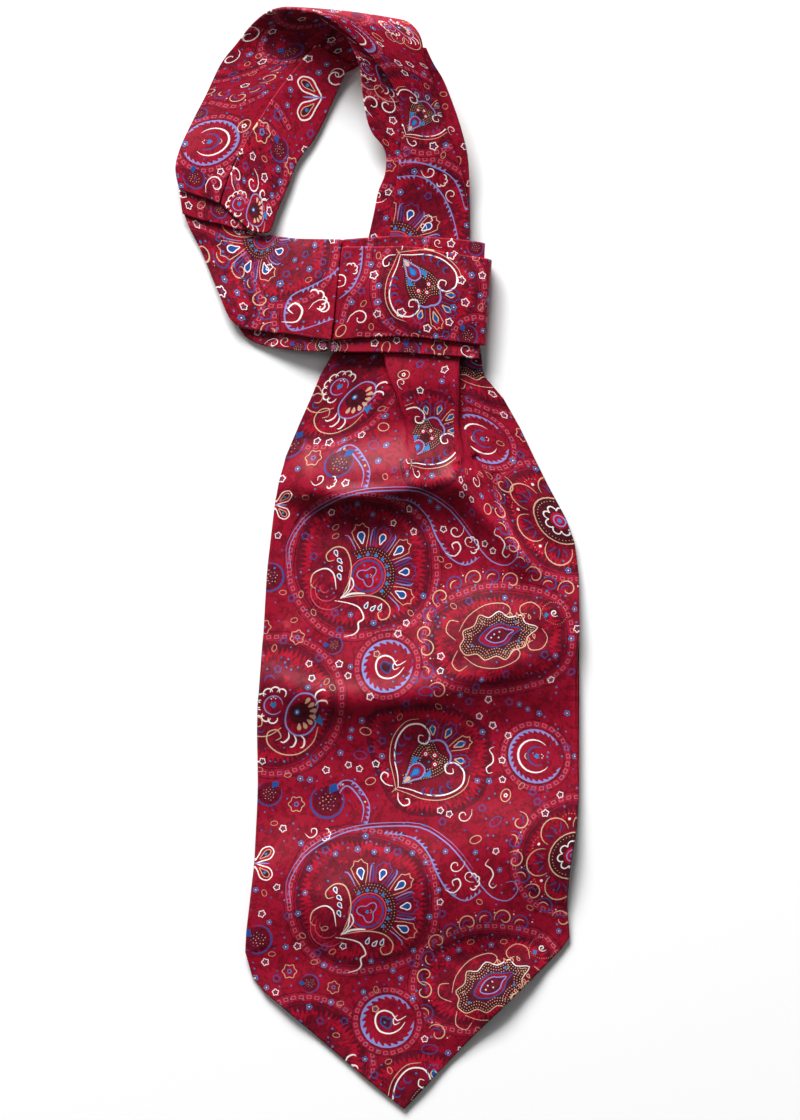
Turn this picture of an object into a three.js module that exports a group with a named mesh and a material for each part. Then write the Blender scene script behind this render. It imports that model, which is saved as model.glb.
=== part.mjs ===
// A silk cravat laid flat: one wide pointed blade below, a pleated neckband looped round above it.
// Millimetres. X is across the blade, Y up its length towards the neck loop, Z up from the surface
// it lies on. The origin is under the middle of the whole cravat, on that surface.
import * as THREE from "three";
import { mergeVertices } from "three/addons/utils/BufferGeometryUtils.js";

// Driving sizes
const CLOTH = 1.6; // wall of the doubled, turned-out silk
const SEAM_GAP = 0.3; // clear space between pieces that meet
const BLADE_WIDTH = 160; // flat width of the blade
const KNOT_HEIGHT = 11.2; // top of the band where it crosses the blade
const ROLL_HEIGHT = 24.6; // top of the soft roll at the back of the neck

// Heights of the layers that cross at the knot, each measured to its top face
const SLACK = 0.1; // extra room over a layer that is not pressed flat
const BACK_TOP = CLOTH;
const UNDER_LEAF_TOP = KNOT_HEIGHT - CLOTH - SEAM_GAP - SLACK;
const CORE_LOW = BACK_TOP + SEAM_GAP;
const CORE_HIGH = UNDER_LEAF_TOP - CLOTH - SEAM_GAP;

const silk = (color, roughness) =>
  new THREE.MeshStandardMaterial({ color, roughness, metalness: 0 });
const CRIMSON = silk(0x9c1730, 0.42);
const CRIMSON_SHADE = silk(0x7d1228, 0.46);

const part = new THREE.Group();

const mix = (from, to, share) => from + (to - from) * share;
const clamp01 = (value) => Math.min(1, Math.max(0, value));
const smooth = (low, high, value) => {
  const share = clamp01((value - low) / (high - low));
  return share * share * (3 - 2 * share);
};

// Value of one named column at a station, read from rows that run down in y.
function column(rows, name, y) {
  let i = 0;
  while (i < rows.length - 2 && y < rows[i + 1].y) i += 1;
  const share = clamp01((rows[i].y - y) / (rows[i].y - rows[i + 1].y));
  return mix(rows[i][name], rows[i + 1][name], share);
}

// Closed wall of cloth: a grid of points on one face, and the same grid moved back by the wall.
// faceAt(s, t) gives the face for shares s across and t along; the wall runs from one t to another.
function wall(name, material, { across, along }, faceAt, from = 0, to = 1) {
  const face = [];
  const back = [];
  const stepS = 0.5 / across;
  const stepT = (0.5 * (to - from)) / along;
  for (let j = 0; j <= along; j += 1) {
    for (let i = 0; i <= across; i += 1) {
      const s = i / across;
      const t = mix(from, to, j / along);
      const acrossStep = faceAt(Math.min(s + stepS, 1), t).sub(faceAt(Math.max(s - stepS, 0), t));
      const alongStep = faceAt(s, Math.min(t + stepT, 1)).sub(faceAt(s, Math.max(t - stepT, 0)));
      const normal = alongStep.cross(acrossStep).normalize();
      const point = faceAt(s, t);
      face.push(point);
      back.push(point.clone().addScaledVector(normal, -CLOTH));
    }
  }
  const at = (i, j) => j * (across + 1) + i;
  const triangles = [];
  const quad = (a, b, c, d) => triangles.push(a, b, c, a, c, d);
  const offset = face.length;
  for (let j = 0; j < along; j += 1) {
    for (let i = 0; i < across; i += 1) {
      const [a, b, c, d] = [at(i, j), at(i, j + 1), at(i + 1, j + 1), at(i + 1, j)];
      quad(a, b, c, d);
      quad(a + offset, d + offset, c + offset, b + offset);
    }
  }
  const rim = [];
  for (let i = 0; i < across; i += 1) rim.push(at(i, 0));
  for (let j = 0; j < along; j += 1) rim.push(at(across, j));
  for (let i = across; i > 0; i -= 1) rim.push(at(i, along));
  for (let j = along; j > 0; j -= 1) rim.push(at(0, j));
  rim.forEach((a, k) => {
    const b = rim[(k + 1) % rim.length];
    quad(a, b, b + offset, a + offset);
  });
  addMesh(name, material, face.concat(back), triangles);
}

const WELD = 1e-4; // points closer than this are one point
function addMesh(name, material, points, triangles) {
  const positions = new Float32Array(points.flatMap((p) => [p.x, p.y, p.z]));
  const geometry = new THREE.BufferGeometry();
  geometry.setAttribute("position", new THREE.BufferAttribute(positions, 3));
  geometry.setIndex(triangles);
  const merged = mergeVertices(geometry, WELD);
  merged.computeVertexNormals();
  const mesh = new THREE.Mesh(merged, material);
  mesh.name = name;
  part.add(mesh);
}

// Face of a strip of cloth through sections. Each row gives the section's two ends, a and b,
// how far its middle crowns up, and how far it bows towards +Y.
function throughSections(rows) {
  const curve = (end) =>
    new THREE.CatmullRomCurve3(
      rows.map((row) => new THREE.Vector3(row[`${end}x`], row[`${end}y`], row[`${end}z`])),
      false,
      "centripetal",
    );
  const [edgeA, edgeB] = [curve("a"), curve("b")];
  const lowest = Math.min(...rows.flatMap((row) => [row.az, row.bz]));
  const between = (name, t) => {
    const place = t * (rows.length - 1);
    const i = Math.min(Math.floor(place), rows.length - 2);
    return mix(rows[i][name] ?? 0, rows[i + 1][name] ?? 0, smooth(0, 1, place - i));
  };
  return (s, t) => {
    const point = edgeA.getPoint(t).lerp(edgeB.getPoint(t), s);
    const middle = 4 * s * (1 - s);
    point.z = Math.max(lowest, point.z) + between("crown", t) * middle;
    point.y += between("bow", t) * middle;
    return point;
  };
}

// A strip of cloth behind the face that its table gives. That face looks to the side from which
// the rows run away with a at the left; where a is at the right, it is turned. "across" and
// "perSection" are its divisions. A strip that is one stretch of a longer table runs from one of
// its rows to another.
function strip(name, material, rows, { across, perSection, turned = false, from = 0, to }) {
  const face = throughSections(rows);
  const faceAt = turned ? (s, t) => face(1 - s, t) : face;
  const last = rows.length - 1;
  const end = to ?? last;
  const along = Math.round(perSection * (end - from));
  wall(name, material, { across, along }, faceAt, from / last, end / last);
}

// Blade: side edges by station, neck first. "pleatLeft" and "pleatRight" are the folded edges of
// the raised middle pleat, "soft" how wide each of them has opened out.
const BLADE_SIDES = [
  { y: 107, left: -20, right: 51, pleatLeft: 3.5, pleatRight: 40, soft: 2.4 },
  { y: 102, left: -22.8, right: 52, pleatLeft: 4, pleatRight: 40, soft: 2.4 },
  { y: 92, left: -28.5, right: 52.8, pleatLeft: 6, pleatRight: 40, soft: 2.6 },
  { y: 80, left: -33.4, right: 63, pleatLeft: 11, pleatRight: 40, soft: 3 },
  { y: 66, left: -39.6, right: 71, pleatLeft: 14.5, pleatRight: 40.5, soft: 5 },
  { y: 51, left: -45.8, right: 78.2, pleatLeft: 15, pleatRight: 44, soft: 10 },
  { y: 36, left: -50.2, right: 85.6, pleatLeft: 15, pleatRight: 50, soft: 18 },
  { y: 20, left: -52.3, right: 94.2, pleatLeft: 14, pleatRight: 58, soft: 26 },
  { y: 8, left: -53.7, right: 98.6, pleatLeft: 12, pleatRight: 64, soft: 32 },
  { y: -8, left: -55.4, right: 100.6, pleatLeft: 10, pleatRight: 66, soft: 34 },
  { y: -34, left: -56.8, right: 101.2, pleatLeft: 8, pleatRight: 66, soft: 34 },
  { y: -50, left: -58, right: 100.8, pleatLeft: 8, pleatRight: 66, soft: 34 },
  { y: -62, left: -58.6, right: 97.8, pleatLeft: 8, pleatRight: 66, soft: 34 },
  { y: -72, left: -59.8, right: 97.2, pleatLeft: 8, pleatRight: 66, soft: 34 },
  { y: -86, left: -60.2, right: 98.8, pleatLeft: 8, pleatRight: 66, soft: 34 },
  { y: -112, left: -59.8, right: 101, pleatLeft: 8, pleatRight: 66, soft: 34 },
  { y: -135, left: -60.5, right: 99.4, pleatLeft: 8, pleatRight: 66, soft: 34 },
  { y: -156, left: -61.8, right: 96, pleatLeft: 8, pleatRight: 66, soft: 34 },
  { y: -172, left: -64, right: 94.6, pleatLeft: 8, pleatRight: 66, soft: 34 },
  { y: -186, left: -65.6, right: 96, pleatLeft: 8, pleatRight: 66, soft: 34 },
  { y: -197, left: -66.2, right: 96.4, pleatLeft: 8, pleatRight: 66, soft: 34 },
];
// Pointed end of the blade, from its left corner round the tip to its right corner.
const BLADE_POINT = [
  { x: -66.2, y: -197 },
  { x: -62, y: -209 },
  { x: -56, y: -216.8 },
  { x: -34, y: -235.2 },
  { x: -4, y: -261 },
  { x: 13.2, y: -275 },
  { x: 28.8, y: -258 },
  { x: 46.2, y: -239.6 },
  { x: 68.8, y: -218 },
  { x: 91.6, y: -195 },
  { x: 96.4, y: -189.6 },
];
// Share of the cloth taken up by the left edge of the middle pleat; its right edge takes the rest.
const LEFT_TAKE_UP = 0.42;
// How high the middle pleat stands over the cloth beside it, and how far the neck is lifted.
const NECK_RISE = [
  { y: 107, pleat: 3.3, lift: 2.2 },
  { y: 100, pleat: 3.5, lift: 2 },
  { y: 88, pleat: 4.2, lift: 1.6 },
  { y: 72, pleat: 3.4, lift: 1 },
  { y: 58, pleat: 2, lift: 0.5 },
  { y: 42, pleat: 0.6, lift: 0.1 },
  { y: 28, pleat: 0, lift: 0 },
];
// Largest folds of the blade: crest through three points, its height, and how far the slopes on
// the neck side and on the point side run out.
const BLADE_FOLDS = [
  { x0: -48, y0: 40, x1: -16, y1: 27, x2: 34, y2: 46, height: 7.5, above: 16, below: 8 },
  { x0: 33, y0: 50, x1: 50, y1: 24, x2: 84, y2: -9, height: 4.6, above: 7, below: 7 },
  { x0: -62, y0: -52, x1: -6, y1: -82, x2: 104, y2: -28, height: 5.6, above: 30, below: 13 },
  { x0: -64, y0: -176, x1: 26, y1: -152, x2: 102, y2: -116, height: 4.6, above: 26, below: 19 },
  { x0: 40, y0: -220, x1: 60, y1: -212, x2: 84, y2: -206, height: 2.2, above: 12, below: 10 },
];
const CREST_STEPS = 16;
const FOLD_SPREAD = 1.9; // a slope reaches the flat cloth at this many times its table value
const END_FADE = 0.34; // share of a crest over which it rises from either end
const END_OVERRUN = 0.12; // share by which that rise starts before the crest's first point

// Points along a fold's crest, a curve with its middle handle at the second point.
const crests = BLADE_FOLDS.map((fold) => {
  const handle = new THREE.QuadraticBezierCurve(
    new THREE.Vector2(fold.x0, fold.y0),
    new THREE.Vector2(fold.x1, fold.y1),
    new THREE.Vector2(fold.x2, fold.y2),
  );
  return { ...fold, points: handle.getPoints(CREST_STEPS) };
});

function foldHeight(fold, x, y) {
  let best = { distance: Infinity, share: 0, side: 1 };
  for (let k = 0; k < CREST_STEPS; k += 1) {
    const [p, q] = [fold.points[k], fold.points[k + 1]];
    const [dx, dy] = [q.x - p.x, q.y - p.y];
    const along = clamp01(((x - p.x) * dx + (y - p.y) * dy) / (dx * dx + dy * dy));
    const [ox, oy] = [x - p.x - dx * along, y - p.y - dy * along];
    const distance = Math.hypot(ox, oy);
    if (distance < best.distance) {
      best = { distance, share: (k + along) / CREST_STEPS, side: dx * oy - dy * ox };
    }
  }
  const reach = best.side > 0 ? fold.above : fold.below;
  const rise = (share) => smooth(-END_OVERRUN, END_FADE - END_OVERRUN, share);
  const fade = rise(best.share) * rise(1 - best.share);
  return fold.height * fade * (1 - clamp01(best.distance / (FOLD_SPREAD * reach)) ** 2) ** 3;
}

function pointedEnd(x) {
  let i = 0;
  while (i < BLADE_POINT.length - 2 && x > BLADE_POINT[i + 1].x) i += 1;
  const [p, q] = [BLADE_POINT[i], BLADE_POINT[i + 1]];
  return mix(p.y, q.y, clamp01((x - p.x) / (q.x - p.x)));
}

// Where a thread of the flat cloth lies at a station: the two pleat edges swallow the width
// that the gathered neck has no room for.
function threadX(share, y) {
  const left = column(BLADE_SIDES, "left", y);
  const right = column(BLADE_SIDES, "right", y);
  const soft = column(BLADE_SIDES, "soft", y);
  const pleatLeft = column(BLADE_SIDES, "pleatLeft", y);
  const pleatRight = column(BLADE_SIDES, "pleatRight", y);
  const hidden = Math.max(0, BLADE_WIDTH - (right - left));
  const stretches = [
    { to: pleatLeft - soft / 2, swallowed: 0 },
    { to: pleatLeft + soft / 2, swallowed: hidden * LEFT_TAKE_UP },
    { to: pleatRight - soft / 2, swallowed: 0 },
    { to: pleatRight + soft / 2, swallowed: hidden * (1 - LEFT_TAKE_UP) },
    { to: right, swallowed: 0 },
  ];
  let flat = share * (right - left + hidden);
  let x = left;
  for (const stretch of stretches) {
    const shown = stretch.to - x;
    const cloth = shown + stretch.swallowed;
    if (flat <= cloth) return x + (shown * flat) / cloth;
    flat -= cloth;
    x = stretch.to;
  }
  return right;
}

// Face of the blade. Its middle thread, at s = 0.5, runs to the tip.
function bladeFace(s, t) {
  const neckEnd = BLADE_SIDES[0];
  const wideEnd = BLADE_SIDES[BLADE_SIDES.length - 1];
  const tip = BLADE_POINT.reduce((low, point) => (point.y < low.y ? point : low));
  const tipShare = (tip.x - wideEnd.left) / (wideEnd.right - wideEnd.left);
  const share = s < 0.5 ? 2 * s * tipShare : mix(tipShare, 1, 2 * s - 1);
  const hem = pointedEnd(mix(wideEnd.left, wideEnd.right, share));
  const y = mix(neckEnd.y, hem, t);
  const x = threadX(share, y);
  const soft = column(BLADE_SIDES, "soft", y);
  const pleatLeft = column(BLADE_SIDES, "pleatLeft", y);
  const pleatRight = column(BLADE_SIDES, "pleatRight", y);
  const onPleat =
    smooth(pleatLeft - soft / 2, pleatLeft + soft / 2, x) *
    (1 - smooth(pleatRight - soft / 2, pleatRight + soft / 2, x));
  const neck = column(NECK_RISE, "lift", y) + column(NECK_RISE, "pleat", y) * onPleat;
  const folds = crests.reduce((sum, fold) => sum + foldHeight(fold, x, y), 0);
  return new THREE.Vector3(x, y, CLOTH + neck + folds);
}

wall("blade", CRIMSON, { across: 28, along: 52 }, bladeFace);

// Knot core: the gathered neck and the hidden ends of the band, one rounded solid inside the wrap.
const CORE_EDGE = 2.4;
const CORE = { left: -15, right: 49, low: 107.6, high: 153.6 };
function knotCore() {
  const outline = new THREE.Shape();
  outline.moveTo(CORE.left + CORE_EDGE, CORE.low + CORE_EDGE);
  outline.lineTo(CORE.right - CORE_EDGE, CORE.low + CORE_EDGE);
  outline.lineTo(CORE.right - CORE_EDGE, CORE.high - CORE_EDGE);
  outline.lineTo(CORE.left + CORE_EDGE, CORE.high - CORE_EDGE);
  outline.closePath();
  const geometry = new THREE.ExtrudeGeometry(outline, {
    depth: CORE_HIGH - CORE_LOW - 2 * CORE_EDGE,
    bevelThickness: CORE_EDGE,
    bevelSize: CORE_EDGE,
    bevelSegments: 5,
  });
  const mesh = new THREE.Mesh(geometry, CRIMSON_SHADE);
  mesh.name = "knot_core";
  mesh.position.z = CORE_LOW + CORE_EDGE;
  part.add(mesh);
}
knotCore();

// Wrap: outer face from the cross seam over the blade, round the right edge and back under it.
// In each row a is the end towards the neck loop and b the end towards the blade's point.
const WRAP_FRONT = [
  { ax: -17.8, ay: 156, az: KNOT_HEIGHT, bx: -22.5, by: 109.1, bz: KNOT_HEIGHT },
  { ax: 0, ay: 156, az: KNOT_HEIGHT, bx: -4, by: 110.4, bz: KNOT_HEIGHT, crown: 0.6 },
  { ax: 17, ay: 156, az: KNOT_HEIGHT, bx: 14, by: 110.6, bz: KNOT_HEIGHT, crown: 1 },
  { ax: 36, ay: 152.8, az: KNOT_HEIGHT, bx: 34, by: 108.8, bz: KNOT_HEIGHT, crown: 0.8 },
  { ax: 51, ay: 150.5, az: KNOT_HEIGHT - 0.2, bx: 48.5, by: 107, bz: KNOT_HEIGHT - 0.2, crown: 0.3 },
  { ax: 56, ay: 149.7, az: 9.8, bx: 53.2, by: 106.6, bz: 9.8 },
  { ax: 57.2, ay: 149.5, az: 5.6, bx: 54.4, by: 106.5, bz: 5.6 },
  { ax: 56, ay: 149.7, az: 1.4, bx: 53.2, by: 106.6, bz: 1.4 },
  { ax: 51, ay: 150.2, az: 0, bx: 48.5, by: 107.4, bz: 0 },
  { ax: 20, ay: 152, az: 0, bx: 17, by: 108, bz: 0 },
  { ax: -14, ay: 153, az: 0, bx: -16, by: 109, bz: 0 },
];
strip("wrap_front", CRIMSON, WRAP_FRONT, { across: 8, perSection: 3, turned: true });

const WRAP_UNDER = [
  { ax: -17.2, ay: 159.3, az: UNDER_LEAF_TOP, bx: -23.7, by: 103.4, bz: UNDER_LEAF_TOP },
  { ax: -3, ay: 160.6, az: UNDER_LEAF_TOP, bx: -10, by: 103, bz: UNDER_LEAF_TOP },
  { ax: 11, ay: 161.5, az: UNDER_LEAF_TOP, bx: 6, by: 103, bz: UNDER_LEAF_TOP },
  { ax: 30, ay: 160.5, az: UNDER_LEAF_TOP, bx: 26, by: 101.8, bz: UNDER_LEAF_TOP },
  { ax: 46, ay: 159, az: UNDER_LEAF_TOP, bx: 41, by: 100.8, bz: UNDER_LEAF_TOP },
  { ax: 53.9, ay: 157.6, az: UNDER_LEAF_TOP - 0.3, bx: 51, by: 99.6, bz: UNDER_LEAF_TOP - 0.3 },
];
strip("wrap_under", CRIMSON, WRAP_UNDER, { across: 8, perSection: 2, turned: true });

// Lower run of the band, from the corner up to the cross seam on the knot.
// a is the end at the neck opening, b the end on the outer and lower edge.
const BAND_LOWER = [
  { ax: -62, ay: 166, az: 1.6, bx: -98.2, by: 177, bz: 1.6 },
  { ax: -58, ay: 161.8, az: 1.7, bx: -95, by: 168, bz: 1.7 },
  { ax: -54, ay: 162, az: 2, bx: -88, by: 153.5, bz: 1.8 },
  { ax: -50.5, ay: 161.4, az: 2.2, bx: -80, by: 134.5, bz: 2.6 },
  { ax: -47, ay: 161, az: 2.6, bx: -71.2, by: 117.2, bz: 3.8, crown: 0.8 },
  { ax: -40, ay: 160.3, az: 4, bx: -57, by: 113.6, bz: 4.6, crown: 1.6 },
  { ax: -32, ay: 160, az: 6.4, bx: -43, by: 112, bz: 6.8, crown: 1.6 },
  { ax: -25, ay: 159.8, az: 9.2, bx: -32, by: 110.2, bz: 9.2, crown: 0.8 },
  { ax: -17.8, ay: 159.5, az: 11.1, bx: -22.9, by: 109, bz: KNOT_HEIGHT },
];
strip("band_lower", CRIMSON, BAND_LOWER, { across: 8, perSection: 3, turned: true });

const BAND_LOWER_UNDER = [
  { ax: -66, ay: 124, az: 1.6, bx: -69.4, by: 115.8, bz: 1.6 },
  { ax: -60, ay: 122, az: 1.8, bx: -65.5, by: 110.6, bz: 1.6 },
  { ax: -52, ay: 120, az: 2.3, bx: -58, by: 107, bz: 2 },
  { ax: -43, ay: 120, az: 4.1, bx: -49, by: 105.2, bz: 3.4 },
  { ax: -34, ay: 119, az: 6.2, bx: -39, by: 103.9, bz: 5.4 },
  { ax: -24.1, ay: 118, az: 8.8, bx: -25.1, by: 103.3, bz: 8.8 },
];
strip("band_lower_under", CRIMSON, BAND_LOWER_UNDER, { across: 4, perSection: 2, turned: true });

// Corner: the pinched tuck lies on the lower run, and the left run lies on the tuck.
const TUCK_TOP = 2 * CLOTH + SEAM_GAP;
const CORNER_TOP = 3 * CLOTH + 2 * SEAM_GAP + SLACK;
const CORNER_TUCK = [
  { ax: -99.6, ay: 187, az: TUCK_TOP, bx: -97.3, by: 172.5, bz: TUCK_TOP },
  { ax: -88.5, ay: 184.5, az: TUCK_TOP, bx: -91, by: 170, bz: TUCK_TOP },
  { ax: -78.5, ay: 180, az: TUCK_TOP, bx: -81, by: 167.6, bz: TUCK_TOP },
  { ax: -71.3, ay: 175.3, az: TUCK_TOP, bx: -73, by: 165.5, bz: TUCK_TOP },
  { ax: -64.5, ay: 167, az: TUCK_TOP, bx: -65.5, by: 163.6, bz: TUCK_TOP },
];
strip("corner_tuck", CRIMSON_SHADE, CORNER_TUCK, { across: 4, perSection: 2, turned: true });

// Left run: rows go up from the corner to the roll. a is the end on the outer edge of each leaf.
const BAND_LEFT_OUTER = [
  { ax: -99, ay: 184.5, az: CORNER_TOP, bx: -79, by: 177.4, bz: CORNER_TOP },
  { ax: -101, ay: 195, az: 5.4, bx: -74.6, by: 190, bz: 5.4 },
  { ax: -99, ay: 204, az: 3.8, bx: -71.1, by: 199, bz: 4, crown: 0.6 },
  { ax: -93, ay: 217.5, az: 2.1, bx: -62.5, by: 210.5, bz: 2, crown: 1 },
  { ax: -86, ay: 231.5, az: CLOTH, bx: -50.4, by: 227.5, bz: CLOTH, crown: 0.8 },
  { ax: -78, ay: 247.4, az: CLOTH, bx: -37, by: 245, bz: CLOTH },
];
strip("band_left_outer", CRIMSON, BAND_LEFT_OUTER, { across: 8, perSection: 2, turned: true });

const BAND_LEFT_INNER = [
  { ax: -78.6, ay: 177.2, az: CORNER_TOP, bx: -63, by: 163.8, bz: CORNER_TOP },
  { ax: -74.2, ay: 190.2, az: 5.5, bx: -54.2, by: 163.2, bz: 5, crown: 0.3 },
  { ax: -70.7, ay: 199, az: 5.6, bx: -50, by: 173.5, bz: 3.6, crown: 0.6 },
  { ax: -65, ay: 210.5, az: 4.7, bx: -44, by: 187.5, bz: 2.6, crown: 0.6 },
  { ax: -59, ay: 220, az: 4, bx: -40, by: 198, bz: 2.2, crown: 0.6 },
  { ax: -51, ay: 232.5, az: 3.9, bx: -31, by: 210.5, bz: 2, crown: 0.6 },
  { ax: -42, ay: 244, az: 3.9, bx: -20, by: 233.5, bz: 2, crown: 0.6 },
  { ax: -37, ay: 250, az: 4.4, bx: -16, by: 242, bz: 3, crown: 0.4 },
  { ax: -30, ay: 257, az: 5.8, bx: -12.4, by: 246.4, bz: 3.9, crown: 0.2 },
];
strip("band_left_inner", CRIMSON, BAND_LEFT_INNER, { across: 6, perSection: 2, turned: true });

// Outer leaf of the band by its outer face: it leaves the surface, rolls over at the back of the
// neck, comes forward again as the right run and slips under the wrap.
const BAND_OVER = [
  { ax: -78.1, ay: 247.9, az: 0, bx: -9.6, by: 246.4, bz: 0 },
  { ax: -71, ay: 257, az: 1.2, bx: -2, by: 252, bz: 0.8, bow: 0.4 },
  { ax: -63, ay: 267, az: 6, bx: 4, by: 261.5, bz: 4.4, bow: 0.8 },
  { ax: -55, ay: 273.2, az: 12, bx: 9.5, by: 267.4, bz: 9.6, bow: 1.2 },
  { ax: -47.5, ay: 275, az: 18, bx: 13.5, by: 268.6, bz: 14.5, bow: 1.4 },
  { ax: -40, ay: 274.4, az: 22.2, bx: 18.6, by: 265.2, bz: 18.4, bow: 1.2 },
  { ax: -31, ay: 272, az: ROLL_HEIGHT, bx: 21.8, by: 260, bz: 20.8, bow: 1 },
  { ax: -18.5, ay: 265, az: 23.6, bx: 24, by: 248.4, bz: 19.2, crown: 0.6 },
  { ax: -8, ay: 255.5, az: 21.6, bx: 26, by: 243.4, bz: 18.2, crown: 1 },
  { ax: 3, ay: 243, az: 19, bx: 28.5, by: 236, bz: 17, crown: 1 },
  { ax: 10, ay: 230, az: 16.2, bx: 31, by: 226.5, bz: 15, crown: 1 },
  { ax: 12, ay: 215.5, az: 13.4, bx: 34, by: 215.5, bz: 12.8, crown: 1.4 },
  { ax: 10.5, ay: 197.5, az: 10.8, bx: 40, by: 199.5, bz: 10.6, crown: 1.6 },
  { ax: 9, ay: 184.5, az: 8.7, bx: 44, by: 185, bz: 8.7, crown: 1.4 },
  { ax: 7, ay: 171, az: 7, bx: 45.6, by: 172, bz: 7, crown: 0.4 },
  { ax: 6, ay: 155.8, az: 6.2, bx: 46, by: 155.8, bz: 6.2, crown: 0.2 },
];
const ROLL_END = 6; // the row where the roll ends and the right run starts
const ROLL_GAP = 0.03; // that seam's gap, as a share of the way to the next row
strip("band_roll", CRIMSON, BAND_OVER, { across: 10, perSection: 3, to: ROLL_END });
strip("band_right_outer", CRIMSON, BAND_OVER, { across: 8, perSection: 3, from: ROLL_END + ROLL_GAP });

const BAND_RIGHT_INNER = [
  { ax: -29, ay: 269.6, az: 21.6, bx: -21, by: 265.4, bz: 21.2 },
  { ax: -25, ay: 266, az: 21, bx: -12, by: 259.5, bz: 20 },
  { ax: -16, ay: 259.5, az: 19.2, bx: -2, by: 251, bz: 18.2 },
  { ax: -9, ay: 245, az: 15.8, bx: 8, by: 240, bz: 15.9 },
  { ax: -8, ay: 236, az: 13, bx: 14, by: 231, bz: 13.6 },
  { ax: -5.5, ay: 220, az: 9.8, bx: 17, by: 218, bz: 10.9 },
  { ax: -3, ay: 213, az: 8.8, bx: 18, by: 212, bz: 10 },
  { ax: 3.5, ay: 204, az: 7.4, bx: 18, by: 203, bz: 8.8 },
  { ax: 3.6, ay: 192, az: 6, bx: 16, by: 190, bz: 7 },
  { ax: 0.5, ay: 184, az: 4.8, bx: 15, by: 182, bz: 5.8 },
  { ax: -2, ay: 172, az: 3.8, bx: 13, by: 172, bz: 4.6 },
  { ax: -5.5, ay: 156.6, az: 3.4, bx: 12, by: 156.6, bz: 3.9 },
];
strip("band_right_inner", CRIMSON_SHADE, BAND_RIGHT_INNER, { across: 4, perSection: 2 });

const BAND_RIGHT_UNDER = [
  { ax: 23.8, ay: 252, az: 18.2, bx: 25.4, by: 251.6, bz: 18 },
  { ax: 25.3, ay: 246.4, az: 17.2, bx: 28.2, by: 246.2, bz: 17 },
  { ax: 29.4, ay: 237, az: 14.6, bx: 32.8, by: 239, bz: 14.4 },
  { ax: 29.5, ay: 227, az: 12.6, bx: 38, by: 226, bz: 12.2 },
  { ax: 31, ay: 215.5, az: 10.6, bx: 42, by: 214, bz: 10.2 },
  { ax: 36, ay: 200, az: 8.2, bx: 45, by: 201.5, bz: 8 },
  { ax: 40, ay: 186, az: 6.5, bx: 46, by: 187.5, bz: 6.4 },
  { ax: 41, ay: 172, az: 4.8, bx: 46.3, by: 172, bz: 4.7 },
  { ax: 41, ay: 157, az: 3.9, bx: 46.3, by: 157, bz: 3.9 },
];
strip("band_right_under", CRIMSON_SHADE, BAND_RIGHT_UNDER, { across: 2, perSection: 3 });

export default part;
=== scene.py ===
"""A silk cravat laid flat: printed twill shells on the cloth, a pale floor and soft studio light.

Lengths are millimetres until they reach a mesh. X is across the blade, Y up its length towards the
neck loop, Z up from the surface that it lies on.
"""
import math
import random

import bpy
import numpy as np
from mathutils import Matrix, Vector
from mathutils.geometry import delaunay_2d_cdt


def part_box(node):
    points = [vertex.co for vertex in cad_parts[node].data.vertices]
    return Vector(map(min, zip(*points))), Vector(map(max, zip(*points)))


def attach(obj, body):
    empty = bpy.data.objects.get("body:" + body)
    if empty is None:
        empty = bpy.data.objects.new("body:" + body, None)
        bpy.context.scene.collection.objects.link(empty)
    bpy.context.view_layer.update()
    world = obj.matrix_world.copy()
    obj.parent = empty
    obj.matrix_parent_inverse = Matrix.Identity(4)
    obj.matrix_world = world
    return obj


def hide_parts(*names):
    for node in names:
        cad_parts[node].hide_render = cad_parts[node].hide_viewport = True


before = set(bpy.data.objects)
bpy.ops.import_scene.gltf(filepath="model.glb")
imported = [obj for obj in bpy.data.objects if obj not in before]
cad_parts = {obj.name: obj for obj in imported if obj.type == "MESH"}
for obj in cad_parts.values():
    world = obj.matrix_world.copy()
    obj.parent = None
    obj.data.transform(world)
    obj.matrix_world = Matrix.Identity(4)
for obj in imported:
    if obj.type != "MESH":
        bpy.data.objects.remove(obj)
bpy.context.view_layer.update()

MM = 0.001
CLOTH = 1.6  # thickness of the doubled, turned-out silk
HALF = CLOTH / 2  # radius of its turned edges
BLADE_WIDTH = 160.0  # flat width of the blade
KNOT_HEIGHT = 11.2  # top of the band where it crosses the blade
ROLL_HEIGHT = 24.6  # top of the soft roll at the back of the neck
UNDER_LEAF_TOP = 9.2
TUCK_TOP = 3.5
CORNER_TOP = 5.5


# Print: inks, pens and motifs. All lengths are millimetres of flat cloth.
INKS = {
    "crimson": (0.285, 0.0030, 0.0205),
    "ribbon": (0.310, 0.0065, 0.0290),
    "burgundy": (0.130, 0.0028, 0.0160),
    "garnet": (0.190, 0.0030, 0.0180),
    "leaf": (0.375, 0.0034, 0.0220),
    "wine": (0.080, 0.0050, 0.0130),
    "rose": (0.480, 0.0750, 0.1150),
    "cobalt": (0.012, 0.0620, 0.2600),
    "sky": (0.026, 0.1700, 0.4400),
    "lavender": (0.210, 0.2300, 0.5300),
    "cream": (0.600, 0.3900, 0.2500),
    "white": (0.820, 0.7500, 0.7300),
}


def polar(angle, radius, centre=(0.0, 0.0)):
    """Point at an angle in degrees and a radius from a centre."""
    return (
        centre[0] + radius * math.cos(math.radians(angle)),
        centre[1] + radius * math.sin(math.radians(angle)),
    )


def turned(points, angle=0.0, at=(0.0, 0.0), size=1.0):
    """Points scaled, turned by an angle in degrees and moved."""
    c, s = polar(angle, size)
    return [(at[0] + c * x - s * y, at[1] + s * x + c * y) for x, y in points]


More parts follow.
